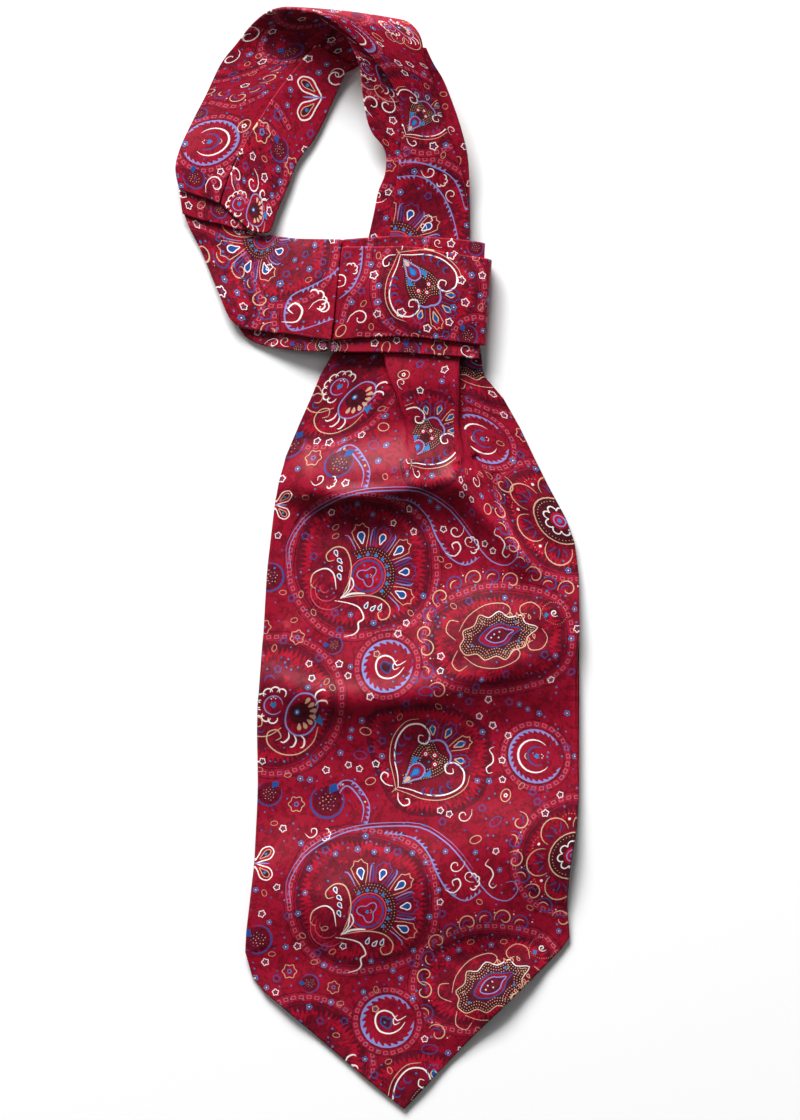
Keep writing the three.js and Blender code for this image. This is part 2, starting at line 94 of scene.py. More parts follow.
def round_line(radius, start=0.0, end=360.0, spin_out=None, step=24.0, centre=(0.0, 0.0), squeeze=1.0):
    """Arc or spiral from one angle to another; spin_out is a spiral's radius at its end."""
    count = max(2, int(abs(end - start) / step))
    far = radius if spin_out is None else spin_out
    line = []
    for k in range(count + 1):
        share = k / count
        x, y = polar(start + (end - start) * share, radius + (far - radius) * share)
        line.append((centre[0] + x, centre[1] + y * squeeze))
    return line


def moved(points, step):
    return [(x + step[0], y + step[1]) for x, y in points]


def mirrored(points, side=-1):
    """Points as they are or, where side is -1, on the other side of the Y axis."""
    return [(side * x, y) for x, y in points]


def curve_at(a, b, c, d, t):
    """Value at the share t from b to c on the smooth curve through a, b, c and d."""
    return 0.5 * (
        2 * b
        + (c - a) * t
        + (2 * a - 5 * b + 4 * c - d) * t * t
        + (3 * b - a - 3 * c + d) * t * t * t
    )


def through(points, steps=4, closed=False):
    """Smooth line through given points."""
    n = len(points)
    line = []
    for k in range(n if closed else n - 1):
        if closed:
            near = [points[(k + j) % n] for j in (-1, 0, 1, 2)]
        else:
            near = [points[min(max(k + j, 0), n - 1)] for j in (-1, 0, 1, 2)]
        for i in range(steps):
            line.append(tuple(curve_at(*four, i / steps) for four in zip(*near)))
    if not closed:
        line.append(points[-1])
    return line


def signed_area(points):
    """Area inside a closed line, above zero where it runs counter-clockwise."""
    return 0.5 * sum(a[0] * b[1] - b[0] * a[1] for a, b in zip(points, points[1:] + points[:1]))


def with_area_ahead(points):
    """Points in counter-clockwise order."""
    return points if signed_area(points) >= 0 else points[::-1]


def side_steps(line, closed=False):
    """Unit steps to the left of a line, one for each of its points."""
    n = len(line)
    steps = []
    for k in range(n):
        a = line[(k - 1) % n] if closed or k > 0 else line[0]
        b = line[(k + 1) % n] if closed or k < n - 1 else line[-1]
        dx, dy = b[0] - a[0], b[1] - a[1]
        length = math.hypot(dx, dy) or 1.0
        steps.append((-dy / length, dx / length))
    return steps


def moved_aside(line, distance, closed=True):
    return [
        (x + sx * distance, y + sy * distance)
        for (x, y), (sx, sy) in zip(line, side_steps(line, closed))
    ]


def walk(line, spacing, closed=False):
    """Points at an even spacing along a line, each with its direction in degrees."""
    points = line + line[:1] if closed else line
    total = sum(math.dist(p, q) for p, q in zip(points, points[1:]))
    count = max(1, round(total / spacing))
    places, passed, k = [], 0.0, 0
    for i in range(count if closed else count + 1):
        goal = total * i / count
        while k < len(points) - 2 and passed + math.dist(points[k], points[k + 1]) < goal:
            passed += math.dist(points[k], points[k + 1])
            k += 1
        p, q = points[k], points[k + 1]
        reach = math.dist(p, q) or 1.0
        share = min(1.0, (goal - passed) / reach)
        at = (p[0] + (q[0] - p[0]) * share, p[1] + (q[1] - p[1]) * share)
        places.append((at, math.degrees(math.atan2(q[1] - p[1], q[0] - p[0]))))
    return places


class Pad:
    """A sheet of drawing: inked shapes in the order in which they are printed."""

    def __init__(self):
        self.shapes = []

    def fill(self, ink, points):
        self.shapes.append((ink, points))

    def line(self, ink, points, width=0.6, ends=0.35, closed=False, chunk=5):
        """A pen stroke, widest at its middle; ends is the share of the width left at its ends."""
        if closed:
            points = points + points[:1]
        n = len(points) - 1
        sides = side_steps(points)
        if closed:
            sides[0] = sides[-1] = side_steps(points[:-1], True)[0]
        left, right = [], []
        for k, ((x, y), (sx, sy)) in enumerate(zip(points, sides)):
            swell = 1.0 if closed else ends + (1 - ends) * max(0.0, math.sin(math.pi * k / n)) ** 0.7
            half = width * swell / 2
            left.append((x + sx * half, y + sy * half))
            right.append((x - sx * half, y - sy * half))
        for k in range(0, n, chunk):
            last = min(k + chunk, n) + 1
            self.fill(ink, right[k:last] + left[k:last][::-1])

    def pen(self, ink, points, width, ends, steps=4):
        """A pen stroke along a smooth line through given points."""
        self.line(ink, through(points, steps), width, ends)

    def lobe(self, ink, radius, angle, spread, reach, width, ends, step):
        """A round stroke that bulges outwards, at an angle and a reach from the middle."""
        centre = polar(angle, reach)
        rim = round_line(radius, angle - spread, angle + spread, step=step, centre=centre)
        self.line(ink, rim, width, ends)

    def outlined(self, inside, ink, rim, width):
        """A filled shape with a line round it."""
        self.fill(inside, rim)
        self.line(ink, rim, width, closed=True)

    def dot(self, ink, at, radius=0.4, sides=6):
        self.fill(ink, round_line(radius, 0, 360 - 360 / sides, step=360 / sides - 0.01, centre=at))

    def dots(self, ink, line, spacing, radius, closed=True):
        for at, _ in walk(line, spacing, closed):
            self.dot(ink, at, radius, 5)

    def add(self, other, angle=0.0, at=(0.0, 0.0), size=1.0):
        """Another drawing, turned and moved onto this one."""
        for ink, points in other.shapes:
            self.fill(ink, turned(points, angle, at, size))


def floret(ink="white", heart="cobalt", radius=1.5):
    """Small five-petal flower."""
    pad = Pad()
    rim = [polar(a, radius * (1 + 0.2 * math.cos(math.radians(5 * a)))) for a in range(0, 360, 18)]
    pad.line(ink, rim, 0.42, closed=True)
    pad.dot(heart, (0, 0), radius * 0.34, 5)
    return pad


def blossom(ink="cream", radius=3.6):
    """Six-lobed outline flower with a floret in its middle."""
    pad = Pad()
    rim = [polar(a, radius * (1 + 0.14 * math.cos(math.radians(6 * a)))) for a in range(0, 360, 12)]
    pad.line(ink, rim, 0.35, closed=True)
    pad.add(floret("sky", "wine", 1.0))
    return pad


def oval(ink="cream", long=2.9, wide=1.9, heart=False):
    pad = Pad()
    pad.line(ink, round_line(long, 0, 336, step=24, squeeze=wide / long), 0.36, closed=True)
    if heart:
        pad.add(floret("white", "wine", 0.7))
    return pad


def curl(ink="white", radius=2.2, width=0.36, turns=0.86, tail=3.2):
    """Scroll that winds in from a straight tail."""
    pad = Pad()
    wound = round_line(radius, 180, 180 - 360 * turns, spin_out=radius * 0.3, step=26)
    x = wound[0][0]
    pad.line(ink, [(x + 0.3 * tail, -tail), (x + 0.02 * tail, -0.5 * tail)] + wound, width, 0.25)
    pad.dot(ink, wound[-1], width * 0.55)
    return pad


def drop(ink, long, wide, width, inside):
    """Teardrop outline, its point at the origin, its round end towards +Y."""
    pad = Pad()
    half = wide / 2
    side = [(half * 0.55, long * 0.35), (half, long * 0.66), (half * 0.62, long * 0.94)]
    rim = through([(0, 0)] + side + [(0, long)] + mirrored(side)[::-1], 3, True)
    pad.outlined(inside, ink, rim, width)
    return pad


def petal(ink, tip_ink, long, wide):
    """Outlined petal with a ragged end and a small drop in it, growing from the origin along +Y."""
    pad = Pad()
    half = wide / 2
    side = [
        (half * 0.42, long),
        (half * 0.62, long * 0.84),
        (half, long * 0.74),
        (half * 0.8, long * 0.4),
        (half * 0.35, 0),
    ]
    pad.line(ink, mirrored(side)[::-1] + [(0, long * 0.93)] + side, 0.42, 0.7)
    core = drop(tip_ink, long * 0.48, wide * 0.42, 0.55, "cobalt")
    pad.add(core, 0, (0, long * 0.18))
    return pad


def toothed_ring(radius, gap, facing, teeth, depth=2.0):
    """Lavender ring with a row of teeth inside it and an opening towards one side."""
    pad = Pad()
    pad.fill("crimson", round_line(radius, 0, 345, step=15))
    start, end = facing + gap / 2, facing + 360 - gap / 2
    pad.line("lavender", round_line(radius, start, end, step=14), 1.0, 0.25)
    root = radius - 0.2
    for k in range(teeth):
        middle = start + (end - start) * (k + 0.5) / teeth
        half = 0.42 * (end - start) / teeth
        reach = depth * (0.55 + 0.45 * math.sin(math.pi * (k + 0.5) / teeth))
        tip = polar(middle - half, radius - reach)
        pad.fill("lavender", [tip, polar(middle - half, root), polar(middle + half, root)])
    return pad


def crescent_ring(radius=13.2):
    """Toothed ring round a white crescent with a small blue tulip in it."""
    pad = Pad()
    pad.add(chain_band(round_line(radius + 3.0, 0, 350, step=14), 3.4, True))
    pad.add(toothed_ring(radius, 50, 0, 24))
    pad.line("white", round_line(radius * 0.62, 40, 320, step=16, centre=(-0.6, 0)), 1.0, 0.12)
    pad.line("cobalt", round_line(radius * 0.36, 60, 300, step=24, centre=(0.8, 0)), 0.8, 0.3)
    pad.add(tulip(), -90, (0.4, 0), 1.1)
    pad.line("cream", round_line(1.8, 110, 250, step=24, centre=(-3.6, 0)), 0.5, 0.2)
    return pad


def tulip():
    """Small blue tulip that grows along +Y, with white specks over it."""
    pad = Pad()
    pad.fill("sky", [(0, -1.3), (1.2, 0.1), (0.7, 1.5), (0, 0.7), (-0.7, 1.5), (-1.2, 0.1)])
    for x, y in ((-0.8, 2.5), (0, 3.1), (0.8, 2.5)):
        pad.dot("white", (x, y), 0.28, 5)
    return pad


def drop_roundel(radius=13.5):
    """Toothed ring round a white teardrop that turns back on itself."""
    pad = Pad()
    pad.add(chain_band(round_line(radius + 3.0, 0, 350, step=14), 3.4, True))
    pad.add(toothed_ring(radius, 30, 15, 20, 2.4))
    body = [
        (9.6, 2.8), (5.0, 0.4), (2.4, 4.0), (-1.6, 5.6), (-5.4, 3.8), (-6.2, -0.8), (-3.8, -5.2),
        (1.4, -6.4), (6.2, -4.2), (9.0, -0.4),
    ]
    pad.pen("white", body, 0.9, 0.3, 3)
    pad.pen("white", [(6.4, -0.6), (3.6, -1.8), (3.0, 1.0), (5.2, 3.2)], 0.55, 0.3, 3)
    heart = [(0.4, -3.8), (-3.2, -1.4), (-3.2, 1.8), (-0.8, 2.2), (0.4, 1.0), (1.6, 1.6), (2.0, -0.8)]
    pad.outlined("wine", "cobalt", through(heart, 3, True), 0.7)
    pad.add(floret("cream", "cobalt", 1.5), 0, (-6.2, 6.4))
    return pad


def trefoil(radius):
    """Lavender three-lobed line round a blue tulip."""
    pad = Pad()
    rim = [polar(a, radius * (0.78 + 0.24 * math.cos(math.radians(3 * a - 30)))) for a in range(0, 360, 12)]
    pad.outlined("crimson", "lavender", rim, 0.5)
    pad.add(tulip(), 0, (0, -0.3), 0.8)
    return pad


def dotted_ground(rim, rings=3, gap=1.35):
    """Dark ground inside a rim, with rows of cream specks that follow it."""
    pad = Pad()
    pad.fill("wine", rim)
    for k in range(rings):
        pad.dots("cream", moved_aside(rim, gap * (k + 0.8)), 1.25, 0.27)
    return pad


def half_daisy():
    """Round eye with a fan of petals on its right and a scrolled white stem on its left."""
    pad = Pad()
    eye = round_line(14.8, -62, 124, step=12)
    pad.fill("wine", eye + [(-4, 8), (-3, 0), (0, -8)])
    for radius in (10.6, 12.2, 13.7):
        pad.dots("cream", round_line(radius, -54, 118, step=8), 1.5, 0.24, False)
    for k in range(5):
        angle = 99 - 33 * k
        ink = ("cream", "cobalt")[k % 2]
        pad.add(petal(ink, "white", 12.6 - 1.4 * (k % 2), 8.6), angle - 90, polar(angle, 14.4))
        for lean in (-14, 14):
            whisker = [
                polar(angle + lean, 14.6),
                polar(angle + lean, 19.0),
                polar(angle + 1.1 * lean, 23.0),
                polar(angle + 1.35 * lean, 24.4),
            ]
            pad.pen(("lavender", "cobalt")[k % 2], whisker, 0.6, 0.2, 3)
    for k in range(8):
        bead = [(0, -1.1), (1.1, 0), (0, 1.1), (-1.1, 0)]
        pad.fill("sky", moved(bead, polar(112 - 23 * k, 10.9)))
    pad.dot("rose", (0, 0), 9.7, 18)
    pad.dot("leaf", (0, 0), 9.2, 18)
    pad.line("cobalt", round_line(7.8, 0, 345, step=15), 0.8, closed=True)
    pad.add(trefoil(5.4), -90, (0, 0))
    fork = [(-14.0, -9.4), (-10.0, -5.6), (-8.6, 0.4), (-7.2, -4.0), (-11.6, -8.6)]
    pad.pen("white", fork, 0.7, 0.4, 3)
    pad.pen("white", [(-14.2, -9.8), (-8.6, -8.0), (-1.6, -8.6)], 1.0, 0.3)
    stem = [
        (-12.6, -7.6), (-8.6, 0.4), (-8.4, 8.0), (-11.0, 14.6), (-16.0, 16.2), (-20.4, 13.0),
        (-19.6, 9.6), (-16.6, 9.8),
    ]
    pad.pen("cream", stem, 0.6, 0.45)
    runner = [
        (-14.0, -9.6), (-3.0, -9.4), (6.0, -11.8), (10.6, -17.0), (9.4, -21.8), (5.4, -22.4),
        (4.4, -19.2), (6.6, -18.0),
    ]
    pad.pen("cream", runner, 0.6, 0.45)
    for x, y, turn in (
        (-15.0, 11.4, 20),
        (-12.6, 7.6, 40),
        (-12.6, 3.6, 30),
        (-13.4, -0.6, 20),
        (-0.4, -13.0, 150),
        (3.4, -15.2, 130),
        (6.6, -14.6, 150),
    ):
        pad.add(drop("white", 3.4, 1.8, 0.42, "cobalt"), turn, (x, y))
    husk = [(-16.0, -5.0), (-16.8, 2.6), (-21.0, 6.0), (-27.0, 4.0), (-28.4, -1.4), (-26.0, -3.6)]
    husk = through(husk, 4)
    pad.line("cream", husk, 0.6, 0.4)
    pad.line("white", husk[:13], 0.7, 0.2)
    leaf = [
        (-17.0, -10.6), (-10.0, -12.6), (-5.0, -15.4), (-3.0, -20.8), (-5.8, -22.8), (-6.0, -26.2),
        (-8.4, -28.4), (-13.0, -29.0),
    ]
    pad.pen("white", leaf, 0.75, 0.3)
    for k in range(6):
        centre = (-21.6 + 0.5 * k, -3.6 - 0.5 * k)
        curve = round_line(2.4 + 1.7 * k, 150 - 6 * k, 330 - 4 * k, step=18, centre=centre)
        pad.line(("rose", "leaf")[k % 2], curve, 0.5, 0.2)
    return pad


def heart_scroll():
    """Two white scrolls that meet in a point, round a dotted heart with a lavender drop; petals past
    its top."""
    pad = Pad()
    half = [(-3.4, -6.0), (-6.6, 0.0), (-7.4, 6.0), (-4.2, 9.6)]
    heart = through([(0, -12.0)] + half + [(0.0, 8.4)] + mirrored(half)[::-1], 3, True)
    pad.fill("garnet", turned(heart, size=1.9))
    pad.add(dotted_ground(with_area_ahead(turned(heart, size=1.28)), 4))
    scroll = [
        (0, -17.0), (-5.0, -13.0), (-12.0, -8.6), (-18.0, -1.6), (-19.8, 7.0), (-15.6, 13.0),
        (-9.4, 12.8), (-7.0, 8.6), (-10.0, 6.2), (-12.4, 8.4), (-10.6, 10.0),
    ]
    halo = [(0.8, -19.0), (-6.0, -15.0), (-13.6, -10.4), (-20.0, -2.6), (-22.0, 7.4), (-18.6, 14.0)]
    foot = [(-2.0, -18.6), (-5.2, -20.8), (-9.0, -20.6), (-10.2, -17.8), (-8.2, -16.6), (-7.0, -17.8)]
    strokes = (("white", scroll, 0.78, 0.3), ("cream", halo, 0.42, 0.4), ("white", foot, 0.66, 0.3))
    for side in (-1, 1):
        for ink, points, width, ends in strokes:
            pad.line(ink, mirrored(through(points, 4), side), width, ends)
        for centre in ((-15.6, -0.6), (-16.0, 4.0), (-13.6, -4.6), (-10.6, -7.6)):
            hook = round_line(1.9, 200, 390, step=30, centre=centre)
            pad.line("cobalt", mirrored(hook, side), 0.75, 0.4)
    pad.add(drop("lavender", 13.0, 7.6, 0.7, "crimson"), 0, (0, -13.5))
    pad.add(drop("cobalt", 6.0, 3.4, 0.6, "sky"), 0, (0, -9.2))
    pad.add(drop("cream", 3.6, 1.6, 0.5, "cream"), 0, (0, -13.0))
    tuft = [(3.8, -5.0), (6.6, -1.2), (3.8, 1.4)]
    pad.fill("sky", mirrored(tuft)[::-1])
    pad.fill("sky", tuft)
    top = (0, 7.6)
    for at in (top, (-3.4, 4.6), (3.4, 4.6)):
        pad.dot("leaf", at, 1.7, 8)
        pad.dot("white", at, 0.9, 6)
        pad.dot("sky", at, 0.5, 5)
    arch = [polar(a, 7.2 * (1 + 0.13 * abs(math.sin(math.radians(2.5 * a))))) for a in range(8, 173, 8)]
    pad.line("lavender", moved(arch, top), 1.0, 0.5)
    for angle, ink, long in (
        (-52, "cobalt", 9.4),
        (-17, "cobalt", 10.6),
        (17, "cream", 11.8),
        (52, "cobalt", 9.4),
    ):
        root = polar(90 - angle, 8.4, top)
        pad.add(petal(ink, "cream", long, 6.8), -angle, root)
        pad.dot("sky", polar(90 - angle, long * 0.68, root), 0.8)
    pad.line("cream", [(0, -17), (0.0, -21.0)], 1.5, 0.2)
    return pad


def scroll_flower():
    """White-petalled flower beside a lavender cup, over cream scrolls."""
    pad = Pad()
    for k in range(8):
        pad.lobe("white", 2.0, 75 + 30 * k, 100, 5.6, 0.6, 0.5, 28)
    pad.dot("crimson", (0, 0), 4.4, 12)
    pad.line("lavender", round_line(3.9, 20, 340, step=20), 0.55, 0.4)
    pad.add(tulip(), 20, (0, 0), 1.1)
    cup = [
        (6.4, 2.0), (8.6, 7.2), (13.8, 8.6), (17.8, 5.2), (17.6, 0.0), (19.2, -2.6), (17.0, -7.6),
        (12.0, -9.4), (7.6, -6.6), (6.2, -2.0),
    ]
    pad.outlined("crimson", "lavender", through(cup, 4, True), 0.65)
    pad.dot("wine", (11.6, -0.2), 4.6, 14)
    pad.dot("sky", (10.4, 0.0), 1.2, 8)
    pad.dot("white", (10.4, 0.0), 0.5, 5)
    for k in range(7):
        angle = -72 + 24 * k
        pad.add(drop("cream", 2.6, 1.4, 0.4, "cream"), angle - 90, polar(angle, 4.6, (11.2, 0.0)))
    pad.fill("sky", [(19.0, -1.6), (22.4, -2.6), (21.4, -0.6), (23.0, 0.4), (20.8, 0.4), (19.6, 1.8)])
    for scroll in (
        [
            (6.0, -8.0), (2.0, -12.6), (-3.6, -14.2), (-7.6, -11.2), (-6.8, -7.2), (-3.4, -6.6),
            (-2.2, -9.4), (-4.2, -10.6),
        ],
        [
            (20.6, -3.6), (20.4, -10.0), (16.0, -16.4), (9.0, -18.6), (2.6, -16.2), (1.2, -11.8),
            (4.4, -9.4), (7.0, -11.8), (5.2, -13.8),
        ],
        [(-5.2, -5.6), (-9.8, -4.6), (-12.2, -8.4), (-9.8, -12.6), (-6.6, -12.2)],
    ):
        pad.pen("cream", scroll, 0.5, 0.5)
    hook = through([(0, 3.2), (1.2, 1.0), (0.2, -1.6), (-1.4, -2.0)], 3)
    for x, y, turn in (
        (16.0, -11.6, 30),
        (12.4, -12.6, 12),
        (8.8, -12.0, -10),
        (16.8, 10.2, 160),
        (19.2, 6.6, 130),
    ):
        pad.line("white", turned(hook, turn, (x, y)), 0.75, 0.1)
    for k in range(5):
        pad.lobe("cobalt", 2.1, 120 + 34 * k, 90, 10.6, 0.6, 0.3, 26)
    return pad


def lozenge():
    """Dotted lozenge with a scalloped cream rim and a drop-shaped eye."""
    pad = Pad()
    rim = [
        (-19, -1), (-17, -5.6), (-11.6, -6.4), (-8.4, -10.2), (-2.6, -9.6), (1.6, -12.4), (6.2, -9.0),
        (12.0, -8.4), (14.0, -4.4), (20.0, -1.2), (14.6, 2.4), (13.4, 6.6), (7.2, 7.0), (3.2, 11.0),
        (-2.4, 9.2), (-6.8, 11.6), (-10.4, 7.2), (-16.0, 6.0), (-16.4, 2.2),
    ]
    rim = through(rim, 3, True)
    pad.add(dotted_ground(rim, 3))
    pad.line("cream", rim, 0.5, closed=True)
    pad.line("white", rim[24:45], 0.55, 0.2)
    eye = [
        (-9.6, 0), (-4.0, -4.8), (3.2, -5.0), (7.4, -1.6), (12.0, 0.4), (7.0, 2.6), (3.0, 5.0),
        (-3.6, 4.6),
    ]
    eye = through(eye, 3, True)
    pad.outlined("crimson", "cobalt", eye, 0.5)
    pad.outlined("burgundy", "lavender", turned(eye, 0, (0.2, 0), 0.66), 0.5)
    for at in ((-1.6, 0.8), (1.2, 1.4), (0.2, -1.2), (-3.4, -0.4)):
        pad.dot("white", at, 0.42, 6)
        pad.dot("leaf", at, 0.2, 4)
    for at in ((-13.2, -1.8), (9.8, 4.2), (9.4, -5.0)):
        pad.dot("sky", at, 0.7)
    for side in (-1, 1):
        for points in (
            [(-18.0, 6.2), (-12.4, 12.2), (-3.0, 15.6), (6.2, 14.2), (9.0, 10.6), (6.4, 8.4), (4.0, 10.4)],
            [(22.0, 2.2), (23.6, 7.2), (20.0, 11.4), (14.4, 10.8), (13.6, 7.4), (16.4, 6.6)],
            [(-20.4, 2.6), (-24.0, 7.8), (-21.2, 12.4), (-17.0, 10.8)],
        ):
            pad.pen("cream", [(x, side * y) for x, y in points], 0.42, 0.5, 3)
        for k in range(4):
            at = (8.6 + 2.9 * k, side * (9.4 - 1.1 * k))
            pad.add(drop("cream", 2.3, 1.3, 0.3, "leaf"), 180 if side > 0 else 0, at)
    sprig = [(24.0, 6.0), (29.0, 9.0), (34.0, 6.4), (35.2, 0.8), (30.6, -2.2), (25.6, 0.6)]
    pad.dots("cream", through(sprig, 3, True), 1.1, 0.18)
    pad.add(curl("white", 1.5, 0.6, 1.0, 2.0), 60, (29.6, 3.6))
    pad.fill("sky", [(25.4, 2.2), (27.0, 3.6), (25.8, 5.0), (24.6, 3.6)])
    return pad


def rosette():
    """Round flower with a dotted ring and a wreath of cream lobes."""
    pad = Pad()
    pad.dot("wine", (0, 0), 10.6, 24)
    pad.dots("cream", round_line(9.0, 0, 350, step=10), 1.5, 0.24)
    pad.line("cream", round_line(10.6, 0, 345, step=15), 0.55, closed=True)
    for k in range(8):
        pad.lobe("white", 1.8, 45 * k, 110, 4.9, 0.62, 0.6, 30)
    pad.dot("leaf", (0, 0), 4.0, 12)
    pad.line("lavender", round_line(2.6, 0, 330, step=30), 0.5, closed=True)
    pad.dot("sky", (0, 0), 1.1)
    for k in range(6):
        angle = 60 * k
        pad.lobe("cream", 6.2, angle, 118, 14.6, 0.55, 0.3, 16)
        for spread in (-24, 0, 24):
            start = polar(angle + spread * 0.3, 13.2)
            end = polar(angle + spread * 0.62, 17.6 - abs(spread) * 0.05)
            middle = ((start[0] + end[0]) / 2 + 0.5, (start[1] + end[1]) / 2)
            pad.line("cobalt", [start, middle, end], 0.55, 0.6)
        pad.dot("white", polar(angle + 30, 17.0), 0.7)
        for j in range(-2, 3):
            pad.dot("cream", polar(angle + 30 + 4 * j, 19.6 - 0.3 * abs(j)), 0.22, 4)
    return pad


def comma(radius=6.6):
    """Blue comma round a dark patch of cream specks."""
    pad = Pad()
    pad.dot("burgundy", (0, 0), radius * 0.86, 16)
    pad.line("cobalt", round_line(radius, 150, 410, step=16, spin_out=radius * 0.96), 0.8, 0.2)
    for k in range(20):
        x, y = polar(137.5 * k, 0.8 * math.sqrt(k + 0.5))
        pad.dot(("cream", "cream", "sky")[k % 3], (x, y - 0.2), 0.27, 4)
    tuft = [(-1.6, radius * 0.86), (-0.4, radius * 0.45), (2.2, radius * 0.8), (0.6, radius * 1.15)]
    pad.fill("cobalt", tuft[::-1])
    return pad


def drop_pair():
    """Two white drops that lean apart from one root, each with a scrolled tip."""
    pad = Pad()
    for lean in (40, -40):
        pad.add(drop("white", 12.0, 6.6, 0.6, "leaf"), lean, (0, 0))
        seed, tip = turned([(0, 3.6), (0, 7.6)], lean)
        pad.add(drop("cream", 7.0, 3.0, 0.36, "wine"), lean, seed)
        pad.dot("sky", tip, 0.8)
    pad.pen("lavender", [(0, -2.0), (0.0, 3.0), (0.0, 8.0)], 0.7, 0.2, 3)
    for side in (-1, 1):
        swirl = round_line(3.0, 90, 90 - side * 380, spin_out=1.0, step=24, centre=(side * 9.0, -6.4))
        pad.line("white", swirl, 0.5, 0.25)
    return pad


def s_scroll():
    """White S-shaped flourish with pointed ends."""
    pad = Pad()
    bends = [(2.6, 6.6), (0.2, 5.2), (1.6, 2.6), (1.4, -0.6), (-1.6, -3.0), (-1.0, -5.4), (1.2, -5.0)]
    pad.pen("white", bends, 0.55, 0.1, 3)
    return pad


def sprout():
    """Small white sprout with a half-round flower beside it."""
    pad = Pad()
    shoot = [(-5.6, -1.0), (-2.8, -2.6), (-0.4, -0.6), (-1.0, 1.8), (-3.0, 1.4), (-2.6, -0.4)]
    pad.pen("white", shoot, 0.48, 0.2, 3)
    for k in range(4):
        facing = -90 + 45 * k
        centre = polar(-70 + 46 * k, 1.8, (3.2, 0.0))
        pad.line("white", round_line(1.1, facing - 80, facing + 80, step=40, centre=centre), 0.48, 0.5)
    return pad


MOTIFS = {
    "half_daisy": half_daisy,
    "heart_scroll": heart_scroll,
    "scroll_flower": scroll_flower,
    "lozenge": lozenge,
    "rosette": rosette,
    "crescent_ring": crescent_ring,
    "drop_roundel": drop_roundel,
    "drop_pair": drop_pair,
    "comma": comma,
    "blossom": blossom,
    "s_scroll": s_scroll,
    "sprout": sprout,
    "curl": curl,
    "oval": oval,
    "blue_oval": lambda: oval("cobalt", 3.3, 2.0),
    "seed_oval": lambda: oval("cream", 2.9, 2.2, True),
    "white_floret": floret,
    "cream_floret": lambda: floret("cream", "wine", 1.3),
    "sky_floret": lambda: floret("sky", "white", 0.95),
    "cobalt_floret": lambda: floret("cobalt", "wine", 1.6),
}


def chain_band(line, width=4.6, closed=False):
    """Ribbon of lighter red with a chain of hollow rose links along it and a dark line on each side."""
    pad = Pad()
    pad.line("burgundy", line, width + 1.1, 1.0, closed, 3)
    pad.line("ribbon", line, width, 1.0, closed, 3)
    for at, angle in walk(line, 3.9, closed):
        link = [(-1.2, -0.95), (1.2, -0.95), (1.2, 0.95), (-1.2, 0.95)]
        hole = [(-0.72, -0.5), (0.72, -0.5), (0.72, 0.5), (-0.72, 0.5)]
        pad.fill("rose", turned(link, angle, at))
        pad.fill("crimson", turned(hole, angle, at))
    return pad


def field(rim, draw):
    """Dark rim zone with bright leafy points that grow from a crimson middle, strewn with dark sprigs."""
    pad = Pad()
    pad.fill("burgundy", rim)
    middle = (sum(p[0] for p in rim) / len(rim), sum(p[1] for p in rim) / len(rim))
    leafy, inner = [], []
    for k, (at, _) in enumerate(walk(rim, 1.35, True)):
        reach = math.dist(at, middle)
        inset = (draw.uniform(0.8, 2.2), draw.uniform(3.8, 6.4))[k % 2]
        for line, depth in ((leafy, inset), (inner, inset + draw.uniform(3.0, 4.4))):
            share = 1 - depth / reach
            line.append((middle[0] + (at[0] - middle[0]) * share, middle[1] + (at[1] - middle[1]) * share))
    pad.fill("leaf", leafy)
    pad.fill("garnet", inner)
    for k in range(9, 60):
        reach = 0.86 * math.sqrt(k / 60)
        edge = rim[(k * 137 * len(rim) // 360) % len(rim)]
        at = (middle[0] + (edge[0] - middle[0]) * reach, middle[1] + (edge[1] - middle[1]) * reach)
        lean = draw.uniform(0, 360)
        size = draw.uniform(0.8, 1.25)
        ink = ("burgundy", "leaf", "crimson")[k % 3]
        for turn, long in ((0, 3.0), (52, 2.3), (-52, 2.3), (104, 1.7), (-104, 1.7)):
            leaf = [(0, 0), (0.5, long * 0.5), (0, long), (-0.5, long * 0.5)]
            pad.fill(ink, turned(leaf, lean + turn, at, size))
    return pad


def scallops(line, radius=5.0):
    """Row of cream and blue scrolls that stand along a line."""
    pad = Pad()
    for k, (at, angle) in enumerate(walk(line, radius * 1.9)):
        ink, other = (("cream", "cobalt"), ("cobalt", "cream"))[k % 2]
        scroll = round_line(radius, 200, -150, spin_out=radius * 0.28, step=20)
        pad.line(ink, turned(scroll, angle, at), 0.6, 0.3)
        inner = round_line(radius * 0.55, 190, 60, step=24, centre=(-0.5, -1.0))
        pad.line(other, turned(inner, angle, at), 0.55, 0.2)
        specks = [(radius * 0.95, radius * 0.5), (radius * 0.95, radius * 0.8), (-0.4, -radius * 0.7)]
        near, far, low = turned(specks, angle, at)
        pad.dot("white", near, 0.5, 3)
        pad.dot("cream", far, 0.2, 4)
        pad.dot("sky", low, 0.6)
    return pad


def tooth_arc(line, gap=3.4, flip=1.0, width=0.75):
    """Two lavender lines side by side, the inner one with teeth."""
    pad = Pad()
    pad.line("lavender", line, width, 0.25)
    inner = moved_aside(line, -gap * flip, False)
    pad.line("lavender", inner, 0.55, 0.4)
    for k, (at, angle) in enumerate(walk(inner, 2.5)):
        if k % 6 < 4:
            tooth = [(-0.9, 0.0), (0.9, 0.0), (0.8, 1.8 * flip)]
            pad.fill("lavender", turned(tooth if flip > 0 else tooth[::-1], angle, at))
    if gap > 2:
        for k, (at, _) in enumerate(walk(moved_aside(line, -gap * 0.5 * flip, False), 5.5)):
            pad.dot(("sky", "cobalt", "cream")[k % 3], at, 0.6, 5)
    return pad


